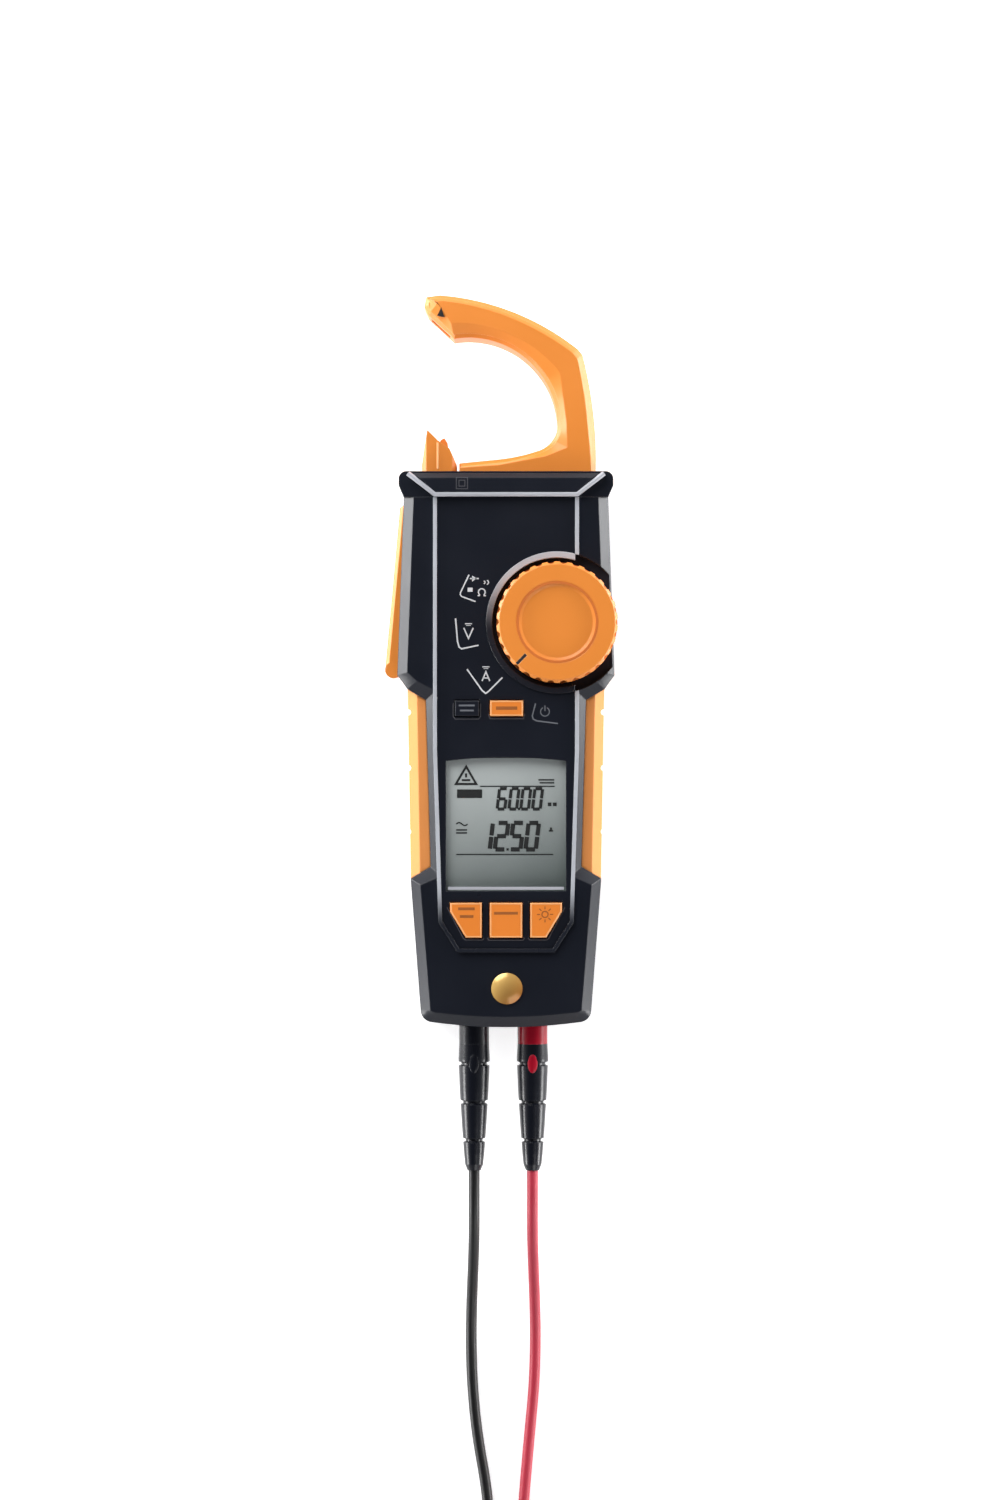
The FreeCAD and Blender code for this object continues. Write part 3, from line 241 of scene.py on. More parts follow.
def metal(name, colour, roughness, stretch=(1, 1, 1), scale=900, depth=0.01):
    """Bare metal, with fine lines across it where the stretch is uneven."""
    material, tree, bsdf = blank(name)
    where = add(tree, "ShaderNodeTexCoord").outputs["Object"]
    spread = add(tree, "ShaderNodeMapping", {"Vector": where, "Scale": stretch})
    lines = add(tree, "ShaderNodeTexNoise", {"Vector": spread.outputs[0], "Scale": scale,
                                             "Detail": 3})
    rough = add(tree, "ShaderNodeMapRange", {"Value": lines.outputs["Fac"],
                                             "To Min": roughness - 0.08,
                                             "To Max": roughness + 0.12})
    tone = add(tree, "ShaderNodeMix", {"Factor": lines.outputs["Fac"],
                                       6: tuple(0.8 * c for c in colour) + (1,),
                                       7: (*colour, 1)}, data_type="RGBA")
    rounded = add(tree, "ShaderNodeBevel", {"Radius": 0.15 * MM}, samples=4)
    bump = add(tree, "ShaderNodeBump", {"Height": lines.outputs["Fac"], "Strength": 0.4,
                                        "Distance": depth * MM,
                                        "Normal": rounded.outputs["Normal"]})
    tree.links.new(tone.outputs[2], bsdf.inputs["Base Color"])
    tree.links.new(rough.outputs[0], bsdf.inputs["Roughness"])
    tree.links.new(bump.outputs["Normal"], bsdf.inputs["Normal"])
    bsdf.inputs["Metallic"].default_value = 1
    return material


def painted_light_fade(tree, node, lean, first, last, pale, deep):
    """A painted fade of light and shade: a colour that runs from pale to deep down a node, and by
    a share of X across it. The first and last levels are measured from the node's middle, in
    metres."""
    where = add(tree, "ShaderNodeTexCoord").outputs["Object"]
    low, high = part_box(node)
    placed = add(tree, "ShaderNodeMapping", {"Vector": where,
                                             "Location": tuple(-(low + high) / 2)})
    apart = add(tree, "ShaderNodeSeparateXYZ", {"Vector": placed.outputs[0]})
    across = arithmetic(tree, "MULTIPLY", apart.outputs["X"], lean)
    slope = arithmetic(tree, "SUBTRACT", across, apart.outputs["Y"])
    share = add(tree, "ShaderNodeMapRange", {"Value": slope, "From Min": first,
                                             "From Max": last})
    ramp = add(tree, "ShaderNodeValToRGB", {"Fac": share.outputs[0]})
    ramp.color_ramp.elements[0].color = pale
    ramp.color_ramp.elements[1].color = deep
    return ramp.outputs["Color"]


def liquid_crystal():
    """The display's grey-green panel, with painted light and shade: pale at its upper left,
    darker towards its lower right.
    """
    material, tree, bsdf = blank("lcd_panel")
    colour = painted_light_fade(tree, "display_glass", 0.35, -0.026, 0.028, (0.62, 0.67, 0.66, 1),
                       (0.08, 0.105, 0.10, 1))
    where = add(tree, "ShaderNodeTexCoord").outputs["Object"]
    grain = add(tree, "ShaderNodeTexNoise", {"Vector": where, "Scale": 5200})
    bump = add(tree, "ShaderNodeBump", {"Height": grain.outputs["Fac"], "Strength": 0.2,
                                        "Distance": 0.01 * MM})
    tree.links.new(colour, bsdf.inputs["Base Color"])
    tree.links.new(bump.outputs["Normal"], bsdf.inputs["Normal"])
    bsdf.inputs["Roughness"].default_value = 0.5
    return material


def clear_acrylic():
    """A thin clear window that lets nearly all light through."""
    material, tree, bsdf = blank("window_acrylic")
    bsdf.inputs["Base Color"].default_value = (0.12, 0.13, 0.13, 1)
    bsdf.inputs["Roughness"].default_value = 0.03
    bsdf.inputs["Alpha"].default_value = 0.05
    return material


def copper_winding():
    """Enamelled wire laid side by side: narrow bands across the winding."""
    material, tree, bsdf = blank("copper_wire")
    where = add(tree, "ShaderNodeTexCoord").outputs["Object"]
    bands = add(tree, "ShaderNodeTexWave", {"Vector": where, "Scale": 750, "Distortion": 0.4},
                bands_direction="Y")
    bump = add(tree, "ShaderNodeBump", {"Height": bands.outputs["Fac"], "Strength": 0.8,
                                        "Distance": 0.1 * MM})
    tone = add(tree, "ShaderNodeMix", {"Factor": bands.outputs["Fac"], 6: (0.32, 0.10, 0.03, 1),
                                       7: (0.80, 0.34, 0.14, 1)}, data_type="RGBA")
    tree.links.new(tone.outputs[2], bsdf.inputs["Base Color"])
    tree.links.new(bump.outputs["Normal"], bsdf.inputs["Normal"])
    bsdf.inputs["Metallic"].default_value = 1
    bsdf.inputs["Roughness"].default_value = 0.3
    return material


def circuit_board():
    """Green solder mask over faint copper tracks."""
    material, tree, bsdf = blank("board_mask")
    where = add(tree, "ShaderNodeTexCoord").outputs["Object"]
    tracks = add(tree, "ShaderNodeTexBrick", {"Vector": where, "Scale": 180,
                                              "Color1": (0.012, 0.12, 0.05, 1),
                                              "Color2": (0.016, 0.16, 0.06, 1),
                                              "Mortar": (0.03, 0.26, 0.10, 1),
                                              "Mortar Size": 0.03})
    tree.links.new(tracks.outputs["Color"], bsdf.inputs["Base Color"])
    bsdf.inputs["Roughness"].default_value = 0.35
    return material


def badge_resin():
    """An amber dome with painted light and shade: pale at its upper left, deeper towards its
    lower right.
    """
    material, tree, bsdf = blank("badge_dome")
    colour = painted_light_fade(tree, "front_badge", 1.0, -0.008, 0.008, (0.80, 0.52, 0.16, 1),
                       (0.33, 0.11, 0.012, 1))
    tree.links.new(colour, bsdf.inputs["Base Color"])
    bsdf.inputs["Metallic"].default_value = 0.35
    bsdf.inputs["Roughness"].default_value = 0.25
    bsdf.inputs["Coat Weight"].default_value = 0.4
    return material


# The dark end of the silver edges' fade: painted shade, about the case's own colour.
PAINTED_SHADE_END = (0.012, 0.014, 0.021, 1)


def silver_with_painted_shade(name, dark_below, silver_above):
    """A glossy silver edge, partly paint and partly painted highlight, that fades to about the
    case's own colour along Y as painted shade, between two levels in millimetres."""
    material = moulded(name, (0.46, 0.48, 0.52), 0.28, grain=(6000, 0.006), edge=0.35,
                       patches=0.2)
    tree = material.node_tree
    bsdf = tree.nodes["Principled BSDF"]
    where = add(tree, "ShaderNodeTexCoord").outputs["Object"]
    apart = add(tree, "ShaderNodeSeparateXYZ", {"Vector": where})
    share = add(tree, "ShaderNodeMapRange", {"Value": apart.outputs["Y"],
                                             "From Min": dark_below * MM,
                                             "From Max": silver_above * MM},
                interpolation_type="SMOOTHSTEP")
    silver = bsdf.inputs["Base Color"].links[0].from_socket
    mixed = add(tree, "ShaderNodeMix", {"Factor": share.outputs[0], 6: PAINTED_SHADE_END, 7: silver},
                data_type="RGBA")
    tree.links.new(mixed.outputs[2], bsdf.inputs["Base Color"])
    return material


def print_and_painted_light(name, colour, roughness=0.5):
    """Ink or paint, with a slightly uneven edge to its tone. The same flat finish serves the marks
    of painted highlight and painted shade.
    """
    return moulded(name, colour, roughness, grain=(5000, 0.004), edge=0.02, wear_and_highlight=0,
                   patches=0.3)


# ---- Shape building --------------------------------------------------------------------------

def sweep(rows, looped=False):
    """A grid of points whose rows are closed rings, as points and faces: each ring is joined
    to the next, and the first and last are capped unless the rows come round again."""
    count, ring = rows.shape[:2]
    last = count if looped else count - 1
    row, place = np.meshgrid(np.arange(last), np.arange(ring), indexing="ij")
    after, beside = (row + 1) % count, (place + 1) % ring
    faces = np.stack([row * ring + place, row * ring + beside, after * ring + beside,
                      after * ring + place], -1).reshape(-1, 4).tolist()
    if not looped:
        faces += [list(range(ring))[::-1], list(range((count - 1) * ring, count * ring))]
    return rows.reshape(-1, 3), faces


def piece(name, shapes, material, body, sharp=30):
    """One object from several shapes' points and faces, in millimetres, riding on a body."""
    points, faces, start = [], [], 0
    for shape_points, shape_faces in shapes:
        points.append(np.asarray(shape_points) * MM)
        faces += [[index + start for index in face] for face in shape_faces]
        start += len(shape_points)
    mesh = bpy.data.meshes.new(name)
    mesh.from_pydata(np.concatenate(points).tolist(), [], faces)
    mesh.shade_smooth()
    mesh.set_sharp_from_angle(angle=math.radians(sharp))
    mesh.materials.append(material)
    made = bpy.data.objects.new(name, mesh)
    bpy.context.scene.collection.objects.link(made)
    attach(made, body)
    return made


def arc(middle, radius, first, last, steps=16):
    """Points along a circular arc, from one angle in degrees to another."""
    turn = np.radians(np.linspace(first, last, steps))
    return np.stack([middle[0] + radius * np.cos(turn), middle[1] + radius * np.sin(turn)], -1)


def swing(start, end, radius, steps):
    """Points from one place to another, on a straight run, or on an arc that turns left when
    it has a radius. The arc's centre stands off the chord's middle, to its left."""
    start, end = np.array(start, float), np.array(end, float)
    share = np.linspace(0, 1, steps + 1)[1:, None]
    if not radius:
        return start + (end - start) * share
    chord = end - start
    left = np.array([-chord[1], chord[0]]) / np.linalg.norm(chord)
    middle = (start + end) / 2 + left * math.sqrt(radius**2 - chord @ chord / 4)
    first = math.atan2(*(start - middle)[::-1])
    swept = 2 * math.asin(np.linalg.norm(chord) / 2 / radius)
    turn = first + swept * share
    return middle + radius * np.hstack([np.cos(turn), np.sin(turn)])


def mitres(path, looped=False):
    """At each point of a flat path, the way its left side stands off: the sum of the
    neighbouring runs' normals over its own length squared, doubled."""
    runs = np.diff(np.vstack([path, path[:1]]) if looped else path, axis=0)
    normals = np.stack([-runs[:, 1], runs[:, 0]], -1)
    normals /= np.linalg.norm(normals, axis=1, keepdims=True)
    if looped:
        before, after = np.roll(normals, 1, axis=0), normals
    else:
        before = np.vstack([normals[:1], normals])
        after = np.vstack([normals, normals[-1:]])
    mitre = before + after
    return mitre * 2 / np.maximum((mitre**2).sum(1, keepdims=True), 0.6)


def line(path, width, level, looped=False, thick=0.05):
    """A flat raised line of even width."""
    path = np.asarray(path, float)
    mitre = mitres(path, looped)
    half = width / 2
    ring = [(path + mitre * half, level), (path - mitre * half, level),
            (path - mitre * half, level + thick), (path + mitre * half, level + thick)]
    rows = np.stack([np.column_stack([xy, np.full(len(xy), z)]) for xy, z in ring], 1)
    return sweep(rows[:, ::-1], looped)


def bead(path, radius, level, sides=10):
    """A round bead along a flat path at an even height: a circle stands across the path."""
    path = np.asarray(path, float)
    turn = np.linspace(0, 2 * math.pi, sides, endpoint=False)
    flat = path[:, None] + mitres(path)[:, None] * (radius * np.cos(turn))[:, None]
    rise = np.broadcast_to(level + radius * np.sin(turn), flat.shape[:2])
    return sweep(np.concatenate([flat, rise[..., None]], -1))


def bar(x_low, x_high, y, tall, level, **more):
    """A flat raised bar along X."""
    return line([(x_low, y), (x_high, y)], tall, level, **more)


SEGMENTS = {  # each lit stroke of a digit, in widths and half-heights from its lower left
    "a": ((0, 2), (1, 2)), "b": ((1, 2), (1, 1)), "c": ((1, 1), (1, 0)), "d": ((0, 0), (1, 0)),
    "e": ((0, 1), (0, 0)), "f": ((0, 2), (0, 1)), "g": ((0, 1), (1, 1))}
DIGITS = {"0": "abcdef", "1": "bc", "2": "abged", "5": "afgcd", "6": "afgedc", "8": "abcdefg"}


def reading(text, left, low, wide, tall, stroke, pitch, level, lean=0.12):
    """Slanted seven-stroke digits, with a dot for a point."""
    shapes = []
    for sign in text:
        if sign == ".":
            shapes.append(bar(left - pitch + wide + 0.45, left - pitch + wide + 1.25, low,
                              0.8, level))
            continue
        for stretch in DIGITS[sign]:
            ends = np.array(SEGMENTS[stretch], float) * (wide, tall / 2)
            run = ends[1] - ends[0]
            ends += np.outer((0.55, -0.55), run / np.linalg.norm(run)) * stroke * 0.3
            ends[:, 0] += left + lean * ends[:, 1]
            ends[:, 1] += low
            shapes.append(line(ends, stroke, level))
        left += pitch
    return shapes


# ---- Prints on the face and the display, and painted highlights on the keys and window -------

def dial_marks():
    """A bent bracket round each of the dial's places, with plain unit signs."""
    z = FACE / MM - LIFT
    white = [
        line([(-12.5, 59.2), (-15.4, 53.2), (-15.5, 52.5), (-15.0, 51.8), (-10.3, 50.1)], 0.45, z),
        line([(-17.1, 44.4), (-16.4, 36.6), (-15.9, 34.7), (-15.1, 34.1), (-9.3, 35.3)], 0.5, z),
        line([(-13.2, 27.2), (-8.1, 20.0), (-6.9, 19.0), (-5.9, 19.7), (-1.2, 24.4)], 0.5, z),
        line([(-14.3, 41.2), (-12.7, 37.6), (-11.1, 41.2)], 0.45, z),
        line([(-8.1, 23.2), (-6.8, 26.3), (-5.5, 23.2)], 0.45, z), bar(-7.7, -5.9, 24.2, 0.4, z),
        bar(-13.0, -11.3, 54.1, 1.4, z), bar(-12.2, -9.2, 57.9, 0.45, z),
        line([(-11.3, 58.6), (-11.3, 57.2), (-10.2, 57.9)], 0.35, z, looped=True),
        line(arc((-6.6, 56.6), 0.7, 80, -80, 8), 0.35, z),
        line(arc((-7.6, 56.6), 0.5, 80, -80, 8), 0.35, z)]
    omega = arc((-8.2, 53.3), 1.15, -50, 230, 18)
    omega = np.vstack([[(-6.8, 52.1)], [(-7.4, 52.1)], omega, [(-9.0, 52.1)], [(-9.6, 52.1)]])
    white.append(line(omega, 0.4, z))
    for x, y in ((-12.7, 42.6), (-6.8, 28.0)):
        white += [bar(x - 1.2, x + 1.2, y, 0.35, z), bar(x - 0.8, x + 0.8, y - 0.6, 0.2, z)]
    grey = [line([(10.0, 15.6), (8.9, 11.4), (9.2, 10.3), (10.4, 9.7), (17.6, 8.8)], 0.45, z),
            line(arc((13.2, 12.8), 1.5, 115, 425, 24), 0.35, z),
            line([(13.2, 13.0), (13.2, 14.9)], 0.35, z)]
    piece("dial_place_marks", white, PRINTS_AND_PAINTED_LIGHT["white"], "case")
    piece("dial_off_mark", grey, PRINTS_AND_PAINTED_LIGHT["grey"], "case")


def key_marks():
    """Plain bars and a sun sign on the keys' tops, and pale lines of painted highlight round them.
    """
    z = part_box("hold_key")[1].z / MM - LIFT
    piece("hold_key_mark", [bar(-16.0, -10.6, 14.9, 0.6, z), bar(-15.6, -10.9, 13.2, 0.6, z)],
          PRINTS_AND_PAINTED_LIGHT["grey"], "hold_button")
    piece("mode_key_mark", [bar(-3.4, 3.8, 14.0, 1.1, z)], PRINTS_AND_PAINTED_LIGHT["brown"], "mode_button")
    piece("range_key_mark", [bar(-16.2, -10.6, -53.9, 0.9, z), bar(-15.6, -11.0, -56.5, 0.9, z)],
          PRINTS_AND_PAINTED_LIGHT["brown"], "range_button")
    piece("peak_key_mark", [bar(-4.0, 4.0, -55.4, 0.9, z)], PRINTS_AND_PAINTED_LIGHT["brown"], "peak_button")
    sun = (13.2, -55.8)
    rays = [line([(sun[0] + r * math.cos(a), sun[1] + r * math.sin(a)) for r in (1.7, 2.7)],
                 0.35, z) for a in np.linspace(0, 2 * math.pi, 8, endpoint=False)]
    piece("light_key_mark", [line(arc(sun, 1.05, 0, 345, 24), 0.4, z, looped=True), *rays],
          PRINTS_AND_PAINTED_LIGHT["brown"], "light_button")
    # Pale lines round each key's top: painted highlight where its rounded edge catches the light.
    slanted = np.array([(8.55, -52.25), (18.5, -52.25), (18.5, -54.8), (13.4, -63.35),
                        (8.55, -63.35)])
    rims = {"mode": [(-5.05, 16.25), (5.45, 16.25), (5.45, 11.65), (-5.05, 11.65)],
            "range": slanted * (-1, 1), "light": slanted,
            "peak": [(-5.15, -52.25), (5.15, -52.25), (5.15, -63.35), (-5.15, -63.35)]}
    for key, corners in rims.items():
        piece(f"{key}_key_edge_highlight", [line(corners, 0.4, z, looped=True)], PRINTS_AND_PAINTED_LIGHT["highlight_orange"],
              f"{key}_button")


def display_marks():
    """Two readings, their rules and signs, as dark strokes just over the liquid crystal."""
    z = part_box("display_glass")[1].z / MM + READING_GAP
    signs = [
        line([(-17.0, -11.7), (-13.5, -5.8), (-10.1, -11.7)], 0.75, z, looped=True),
        bar(-15.0, -12.1, -10.4, 0.7, z), bar(-13.9, -13.2, -8.8, 1.4, z),
        bar(-8.8, 16.6, -12.5, 0.4, z), bar(-16.9, 16.0, -35.6, 0.4, z),
        bar(-16.6, -8.1, -15.0, 2.9, z),
        bar(11.0, 16.4, -10.3, 0.5, z), bar(11.4, 16.4, -11.3, 0.5, z),
        bar(14.2, 15.4, -18.6, 1.2, z), bar(15.9, 17.2, -18.6, 1.2, z),
        bar(14.5, 16.0, -27.6, 0.5, z), bar(14.9, 15.6, -26.9, 0.9, z),
        line(np.column_stack([np.linspace(-16.9, -13.0, 14),
                              -25.3 + 0.5 * np.sin(np.linspace(0, 2 * math.pi, 14))]), 0.45, z),
        bar(-16.9, -13.2, -27.3, 0.5, z), bar(-16.9, -13.2, -28.3, 0.5, z)]
    small = reading("60.00", -3.0, -20.2, 2.6, 6.9, 1.05, 4.0, z)
    large = reading("12.50", -9.0, -33.9, 3.5, 9.0, 1.45, 5.2, z)
    piece("display_signs", signs + small + large, PRINTS_AND_PAINTED_LIGHT["black"], "case")
    # A pale line along the window's lower edge: a painted highlight where the edge catches the
    # light.
    low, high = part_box("display_window")
    z = high.z / MM - SUNK_EDGE
    piece("window_edge_highlight", [bar(low.x / MM + 0.6, high.x / MM - 0.6, low.y / MM + 0.8, 1.0, z)],
          PRINTS_AND_PAINTED_LIGHT["silver"], "case")


# ---- Raised edges ----------------------------------------------------------------------------

HOOK_LEGS = [  # steps, and where a leg ends on the inner edge, the crest and the outer edge
    (3, (-2.4, 98.75, 0), (-2.4, 96.7, 0), (0, 92.1, 0)),
    (5, (10.5, 101.5, 60), (13.5, 99.7, 0), (22, 92.1, 0)),
    (5, (15.91, 105.24, 9.5), (20.8, 102.6, 0), (30.6, 92.1, 0)),
    (5, (17.6, 111.6, 9.5), (20.5, 111.6, 0), (29.68, 114.5, 150)),
    (8, (13.58, 125.05, 30.3), (18.3, 127.9, 0), (26.1, 134.2, 150)),
    (3, (11.22, 128.55, 30.3), (16.6, 130.2, 0), (24.6, 136.1, 0)),
    (26, (-17.6, 139.8, 30.3), (-18.6, 144.9, 45), (-22.4, 154.6, 86)),
    (6, (-26.4, 147.9, 0), (-23.3, 151.8, 0), (-27.1, 154, 0))]
HOOK_TOP = 32.0
DIAL = (17.28, 43.0)
HOOK_RISE = 1.7


def hook_face(material):
    """The hook's raised front. A crest runs along it: towards the window the face falls in a
    band that is wide over the top, and towards the outside it is flat to a short slope."""
    edges = [np.array([start]) for start in ((-15.6, 97.4), (-15.6, 95.8), (-15.6, 92.1))]
    for steps, *ends in HOOK_LEGS:
        for number, (x, y, radius) in enumerate(ends):
            edges[number] = np.vstack([edges[number],
                                       swing(edges[number][-1], (x, y), radius, steps)])
    inner, crest, outer = edges

    def inset(edge, reach):
        away = crest - edge
        return edge + away * reach / np.linalg.norm(away, axis=1, keepdims=True)

    foot, top = HOOK_TOP - 0.1, HOOK_TOP + HOOK_RISE
    near, far = inset(inner, 1.2), inset(outer, 1.2)
    ring = [(near, foot), (near, HOOK_TOP + 0.05), (crest, top), (inset(outer, 2.4), top),
            (far, HOOK_TOP + 0.7), (far, foot)]
    rows = np.stack([np.column_stack([xy, np.full(len(xy), z)]) for xy, z in ring], 1)
    piece("hook_face", [sweep(rows)], material, "case", sharp=9)
    # A black prism on the hook's tip where the latch recess lies in shade: painted shade.
    recess = np.array([(-23.4, 147.4), (-20.9, 146.9), (-22.0, 150.2)])
    rows = np.stack([np.column_stack([recess, np.full(3, z)])
                     for z in (HOOK_TOP + 0.6, top + 0.06)])
    piece("hook_latch_recess_shade", [sweep(rows)], PRINTS_AND_PAINTED_LIGHT["black"], "case")


def collar_bead():
    """A rounded silver bead that frames the collar's step: a painted highlight along its crest."""
    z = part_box("jaw_collar")[1].z / MM - BEAD_SINK
    piece("collar_crest_highlight", [bead([(-33.2, 93.4), (-24.0, 86.4), (24.0, 86.4), (33.2, 93.4)],
                                    0.85, z)], PRINTS_AND_PAINTED_LIGHT["silver"], "case", sharp=60)


def dial_ring():
    """The narrow ring of painted shade round the dial's dish."""
    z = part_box("dial_knob")[1].z / MM - SUNK_EDGE
    piece("dial_dish_shade", [line(arc(DIAL, 13.4, 0, 352, 46), 0.8, z, looped=True)],
          PRINTS_AND_PAINTED_LIGHT["shade_orange"], "dial")


def jaw_ridge():
    """A pale bead on the moving jaw's tip: a painted highlight along its upright edge."""
    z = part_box("moving_jaw")[1].z / MM - RIDGE_SINK
    piece("jaw_tip_highlight", [bead([(-23.2, 95.5), (-23.2, 104.4)], 0.4, z)],
          PRINTS_AND_PAINTED_LIGHT["highlight_orange"], "sliding_jaw", sharp=60)


def collar_marks():
    """Two nested squares, the plain sign for double insulation."""
    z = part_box("jaw_collar")[1].z / MM - LIFT
    squares = [line([(x - half, y - half), (x + half, y - half), (x + half, y + half),
                     (x - half, y + half)], 0.3, z, looped=True)
               for x, y, half in ((-14.9, 90.0, 1.9), (-14.9, 90.0, 1.0))]
    piece("collar_insulation_mark", squares, PRINTS_AND_PAINTED_LIGHT["rim"], "case")


def key_wells():
    """Thin pale rims below the keys, where their wells' lips catch the light."""
    z = FACE / MM - LIFT
    rims = [
        line([(-17.9, 15.6), (-17.9, 11.2), (-17.2, 10.3), (-9.3, 10.3), (-8.6, 11.2),
              (-8.6, 15.6)], 0.3, z),
        line([(-6.0, 12.0), (-5.4, 10.4), (5.8, 10.4), (6.4, 12.0)], 0.3, z),
        line([(-20.0, -53.4), (-14.5, -63.9), (-13.8, -64.5), (-8.0, -64.5), (-7.4, -63.8)],
             0.3, z),
        line([(-6.4, -63.8), (-5.8, -64.6), (5.8, -64.6), (6.4, -63.8)], 0.3, z),
        line([(7.4, -63.8), (8.0, -64.5), (13.8, -64.5), (14.5, -63.9), (20.0, -53.4)], 0.3, z)]
    piece("key_well_rims", rims, PRINTS_AND_PAINTED_LIGHT["rim"], "case")


# ---- Leads -----------------------------------------------------------------------------------

COIL = {"middle": (31.2, -300.0), "radii": (26.3, 22.5, 18.7), "levels": (2.6, 6.4)}
TURN_POINTS = 20


def coil_turns(side):
    """Six turns in two layers. On each turn the angle runs evenly and the radius keeps still,
    but over a turn's last third it eases to the next turn's. The lead climbs to the upper layer
    between its third turn and its fourth."""
    radii = np.array(COIL["radii"] + COIL["radii"][::-1] + COIL["radii"][:1])
    turns = np.arange(1, 6 * TURN_POINTS) / TURN_POINTS
    whole = turns.astype(int)
    late = np.clip((turns - whole - 0.67) / 0.33, 0, 1)
    ease = late * late * (3 - 2 * late)
    after = np.minimum(whole + 1, 5)
    radius = radii[whole] + (radii[after] - radii[whole]) * ease
    low, high = COIL["levels"]
    climb = np.clip((turns - 2.7) / 0.5, 0, 1)
    height = low + (high - low) * climb
    # the red lead turns anticlockwise, the black one clockwise
    angle = (math.pi if side > 0 else 0) + side * 2 * math.pi * turns
    x, y = COIL["middle"]
    return np.stack([side * x + radius * np.cos(angle), y + radius * np.sin(angle), height], -1)


def lead_points(lead, side):
    """The lead's whole way: from its plug to the floor, six turns, and on to the probe."""
    x = SOCKET_X[lead]
    inner = side * 4.9
    run = [(x, -144.2, 20), (x, -155, 20), (x, -167, 16.6), (x + side * 0.4, -179, 10.6),
           (x + side * 0.9, -191, 5.2), (x + side * 1.2, -204, 2.1),
           (x + side * 0.8, -220, 2.0), (x - side * 0.9, -238, 2.0),
           (inner + side * 1.6, -257, 2.0), (inner + side * 0.3, -276, 2.1),
           (inner, -300, 2.6)]
    tail = [(inner, -300, 6.4), (inner + side * 0.4, -310.5, 6.6), (side * 8.0, -321, 7.6),
            (side * 8.0, -332, 7.6)]
    return np.vstack([run, coil_turns(side), tail])


def lead_cord(lead, side, material):
    """One smooth cord on a spline through the lead's route, from plug to probe."""
    curve = bpy.data.curves.new(lead + "_lead_cord", "CURVE")
    curve.dimensions = "3D"
    curve.bevel_depth = 1.9 * MM
    curve.bevel_resolution = 5
    curve.use_fill_caps = True
    spline = curve.splines.new("NURBS")
    points = lead_points(lead, side) * MM
    spline.points.add(len(points) - 1)
    spline.points.foreach_set("co", np.column_stack([points, np.ones(len(points))]).ravel())
    spline.order_u = 3
    spline.use_endpoint_u = True
    spline.resolution_u = 6
    curve.materials.append(material)
    cord = bpy.data.objects.new(lead + "_lead_cord", curve)
    bpy.context.scene.collection.objects.link(cord)
    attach(cord, f"{lead}_lead")
    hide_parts(f"{lead}_cable", f"{lead}_coil")
    return cord


def grip_inset(lead, material):
    """A small oval let into the plug's grip: rings of an ellipse, laid on the grip's round."""
    low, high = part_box(f"{lead}_plug_grip")
    middle = (low + high) / 2 / MM
    reach, turn = np.meshgrid(np.linspace(1, 0.02, 6), np.linspace(0, 2 * math.pi, 28,
                                                                  endpoint=False), indexing="ij")
    half_wide, half_long, along, grip_radius = 1.7, 3.2, -107.4, 5.45
    crown, sink, depth = 0.25, 0.1, 0.6
    x = half_wide * reach * np.cos(turn)
    y = along + half_long * reach * np.sin(turn)
    lift = middle[2] + np.sqrt(grip_radius**2 - x**2) + crown * np.sqrt(1 - reach**2) - sink
    rows = np.stack([middle[0] + x, y, lift], -1)
    under = rows[:1] - (0, 0, depth)
    return piece(f"{lead}_grip_inset", [sweep(np.concatenate([under, rows]))], material,
                 f"{lead}_lead")


# ---- Finishes --------------------------------------------------------------------------------

GROUPS = {"moulding": moulding_group(), "edge_wear_and_highlight": edge_wear_and_highlight_group()}
PRINTS_AND_PAINTED_LIGHT = {
    "white": print_and_painted_light("white_ink", (0.62, 0.64, 0.66)),
    "grey": print_and_painted_light("grey_ink", (0.13, 0.14, 0.16)),
    # The rim ink prints the collar's sign and draws the pale rims under the keys, a painted
    # highlight.
    "rim": print_and_painted_light("rim_highlight_and_print_ink", (0.07, 0.07, 0.08), 0.35),
    # The silver marks are painted highlight: the window's lower edge and the collar's crest.
    "silver": print_and_painted_light("painted_highlight_silver", (0.42, 0.43, 0.47), 0.3),
    "brown": print_and_painted_light("brown_ink", (0.33, 0.10, 0.015)),
    # Pale orange marks are painted highlight on the key edges and the jaw's tip.
    "highlight_orange": print_and_painted_light("painted_highlight_orange", (0.86, 0.42, 0.16)),
    # Deep orange marks are painted shade in the dial's dish step.
    "shade_orange": print_and_painted_light("painted_shade_orange", (0.60, 0.15, 0.02)),
    # Black prints the display and also stands as painted shade in the hook's latch recess.
    "black": print_and_painted_light("display_ink_and_recess_shade", (0.004, 0.005, 0.005)),
}


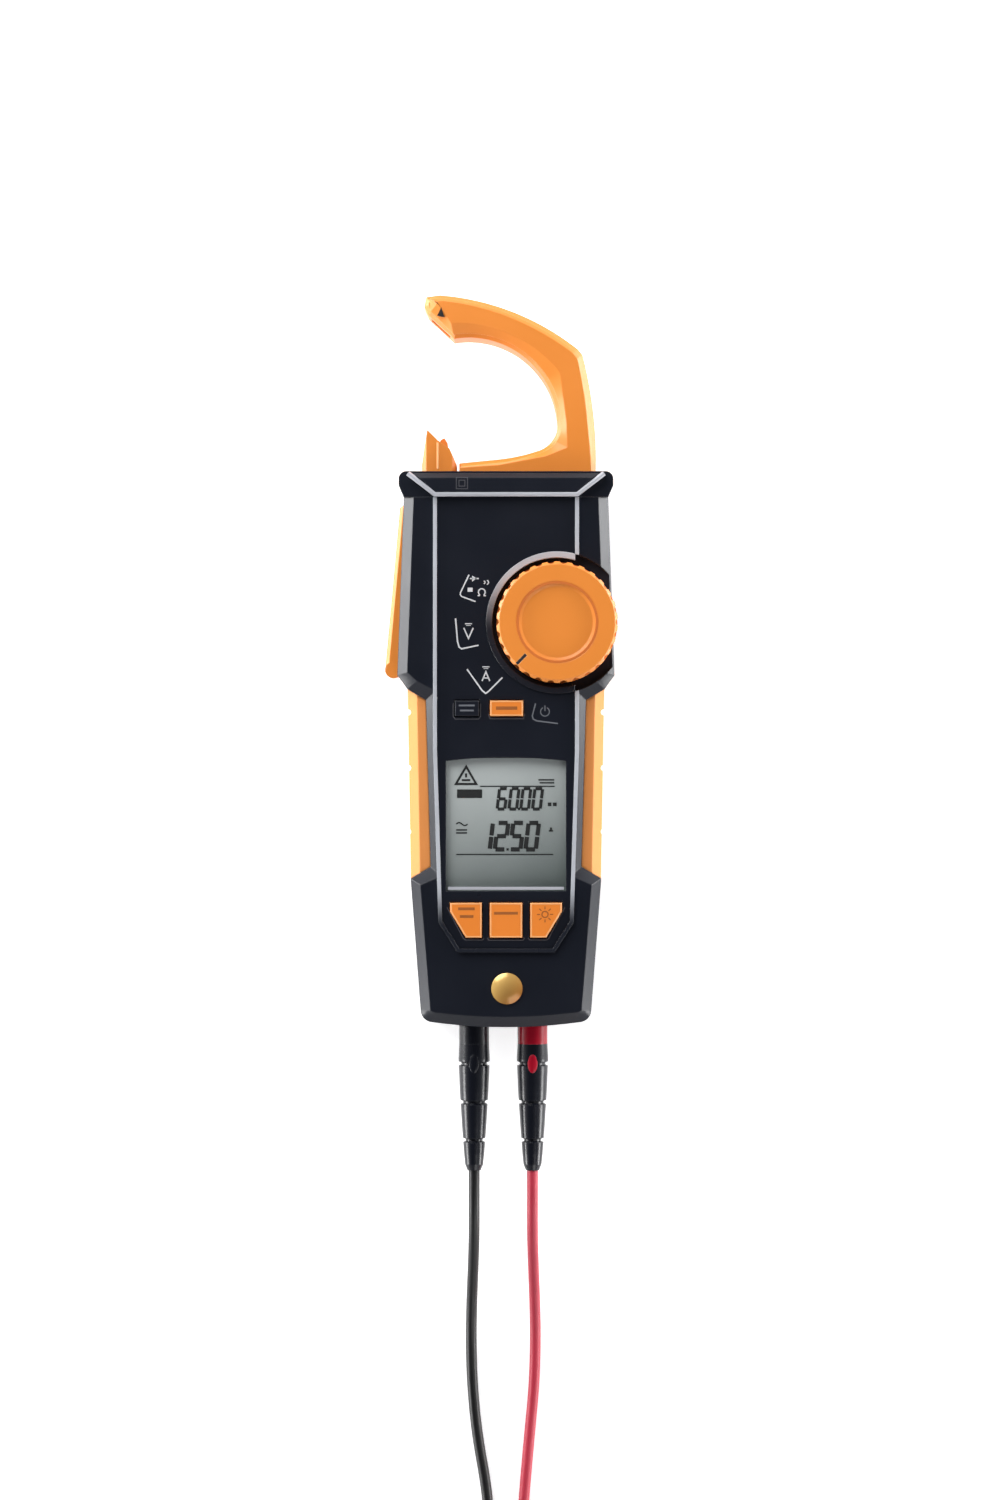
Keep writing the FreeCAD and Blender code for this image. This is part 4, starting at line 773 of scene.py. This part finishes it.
def finishes():
    """Every material slot of the record, with its finish."""
    dark = (0.0082, 0.0100, 0.0162)
    orange = (0.78, 0.245, 0.034)
    return {
        "case_plastic": moulded("blue_black_moulding", dark, 0.3, grain=(2400, 0.012),
                                edge=0.5, wear_and_highlight=0.25, pale=(0.05, 0.055, 0.065),
                                **{"Specular IOR Level": 0.34}),
        "orange_plastic": moulded("orange_moulding", orange, 0.4, grain=(2600, 0.012), edge=0.45,
                                  pale=(0.93, 0.45, 0.15), patches=0.08),
        "grip_rubber": moulded("soft_orange_grip", (0.76, 0.27, 0.06), 0.62, edge=0.7,
                               grain=(1500, 0.05), patches=0.1, pale=(0.93, 0.5, 0.2)),
        # The trim's silver fades to painted shade towards the lower end.
        "trim_paint": silver_with_painted_shade("silver_edge", -60, -44),
        "clear_window": clear_acrylic(),
        "lcd": liquid_crystal(),
        "dark_plastic": moulded("black_engineering_plastic", (0.012, 0.012, 0.014), 0.45),
        "white_plastic": moulded("white_moulding", (0.75, 0.75, 0.73), 0.4),
        "board_green": circuit_board(),
        "silicone": moulded("grey_silicone", (0.33, 0.33, 0.35), 0.6),
        "steel": metal("plain_steel", (0.56, 0.56, 0.58), 0.3),
        "core_steel": metal("stacked_laminations", (0.32, 0.32, 0.35), 0.4, (1, 1, 14), 180,
                            0.06),
        "copper": copper_winding(),
        "brass": metal("turned_brass", (0.74, 0.53, 0.22), 0.25, (1, 12, 1), 500),
        "badge_amber": badge_resin(),
        "cell_jacket": moulded("cell_sleeve", (0.07, 0.09, 0.22), 0.25, grain=(4000, 0.004)),
        "black_plastic": moulded("black_plug_moulding", (0.004, 0.005, 0.009), 0.26,
                                 grain=(2600, 0.01), edge=0.3),
        "red_plastic": moulded("red_moulding", (0.34, 0.004, 0.018), 0.22,
                               grain=(3200, 0.006), edge=0.3, pale=(0.5, 0.04, 0.06)),
        "black_pvc": moulded("soft_black_lead", (0.003, 0.003, 0.0035), 0.4,
                             grain=(1800, 0.02), wear_and_highlight=0.1),
        "red_pvc": moulded("soft_red_lead", (0.42, 0.026, 0.050), 0.45,
                           grain=(1800, 0.02), wear_and_highlight=0.1),
    }


def dress(node, material):
    """Puts a finish on a CAD node in place of what it has."""
    materials = NODES[node].data.materials
    materials.clear()
    materials.append(material)


look_down()
studio()
lay_floor()
FINISHES = finishes()
for subpart in frame["record"]["subparts"]:
    dress(subpart["node"], FINISHES[subpart["material_slot"]])
# The bezel's silver fades to painted shade over its lower part.
dress("dial_bezel", silver_with_painted_shade("bezel_edge", 40, 62))
# The keys' strong pale edges are painted highlight round their tops.
keys = moulded("key_moulding", (0.79, 0.225, 0.031), 0.35, grain=(2600, 0.01), edge=0.5,
               wear_and_highlight=1.6, pale=(0.95, 0.55, 0.28), patches=0.08)
for key in ("mode_key", "range_key", "peak_key", "light_key"):
    dress(key, keys)
dial_marks()
key_marks()
display_marks()
hook_face(FINISHES["orange_plastic"])
collar_bead()
collar_marks()
jaw_ridge()
dial_ring()
key_wells()
for lead, side in SIDES.items():
    lead_cord(lead, side, FINISHES[f"{lead}_pvc"])
    grip_inset(lead, FINISHES[f"{lead}_plastic"])

bpy.context.view_layer.update()
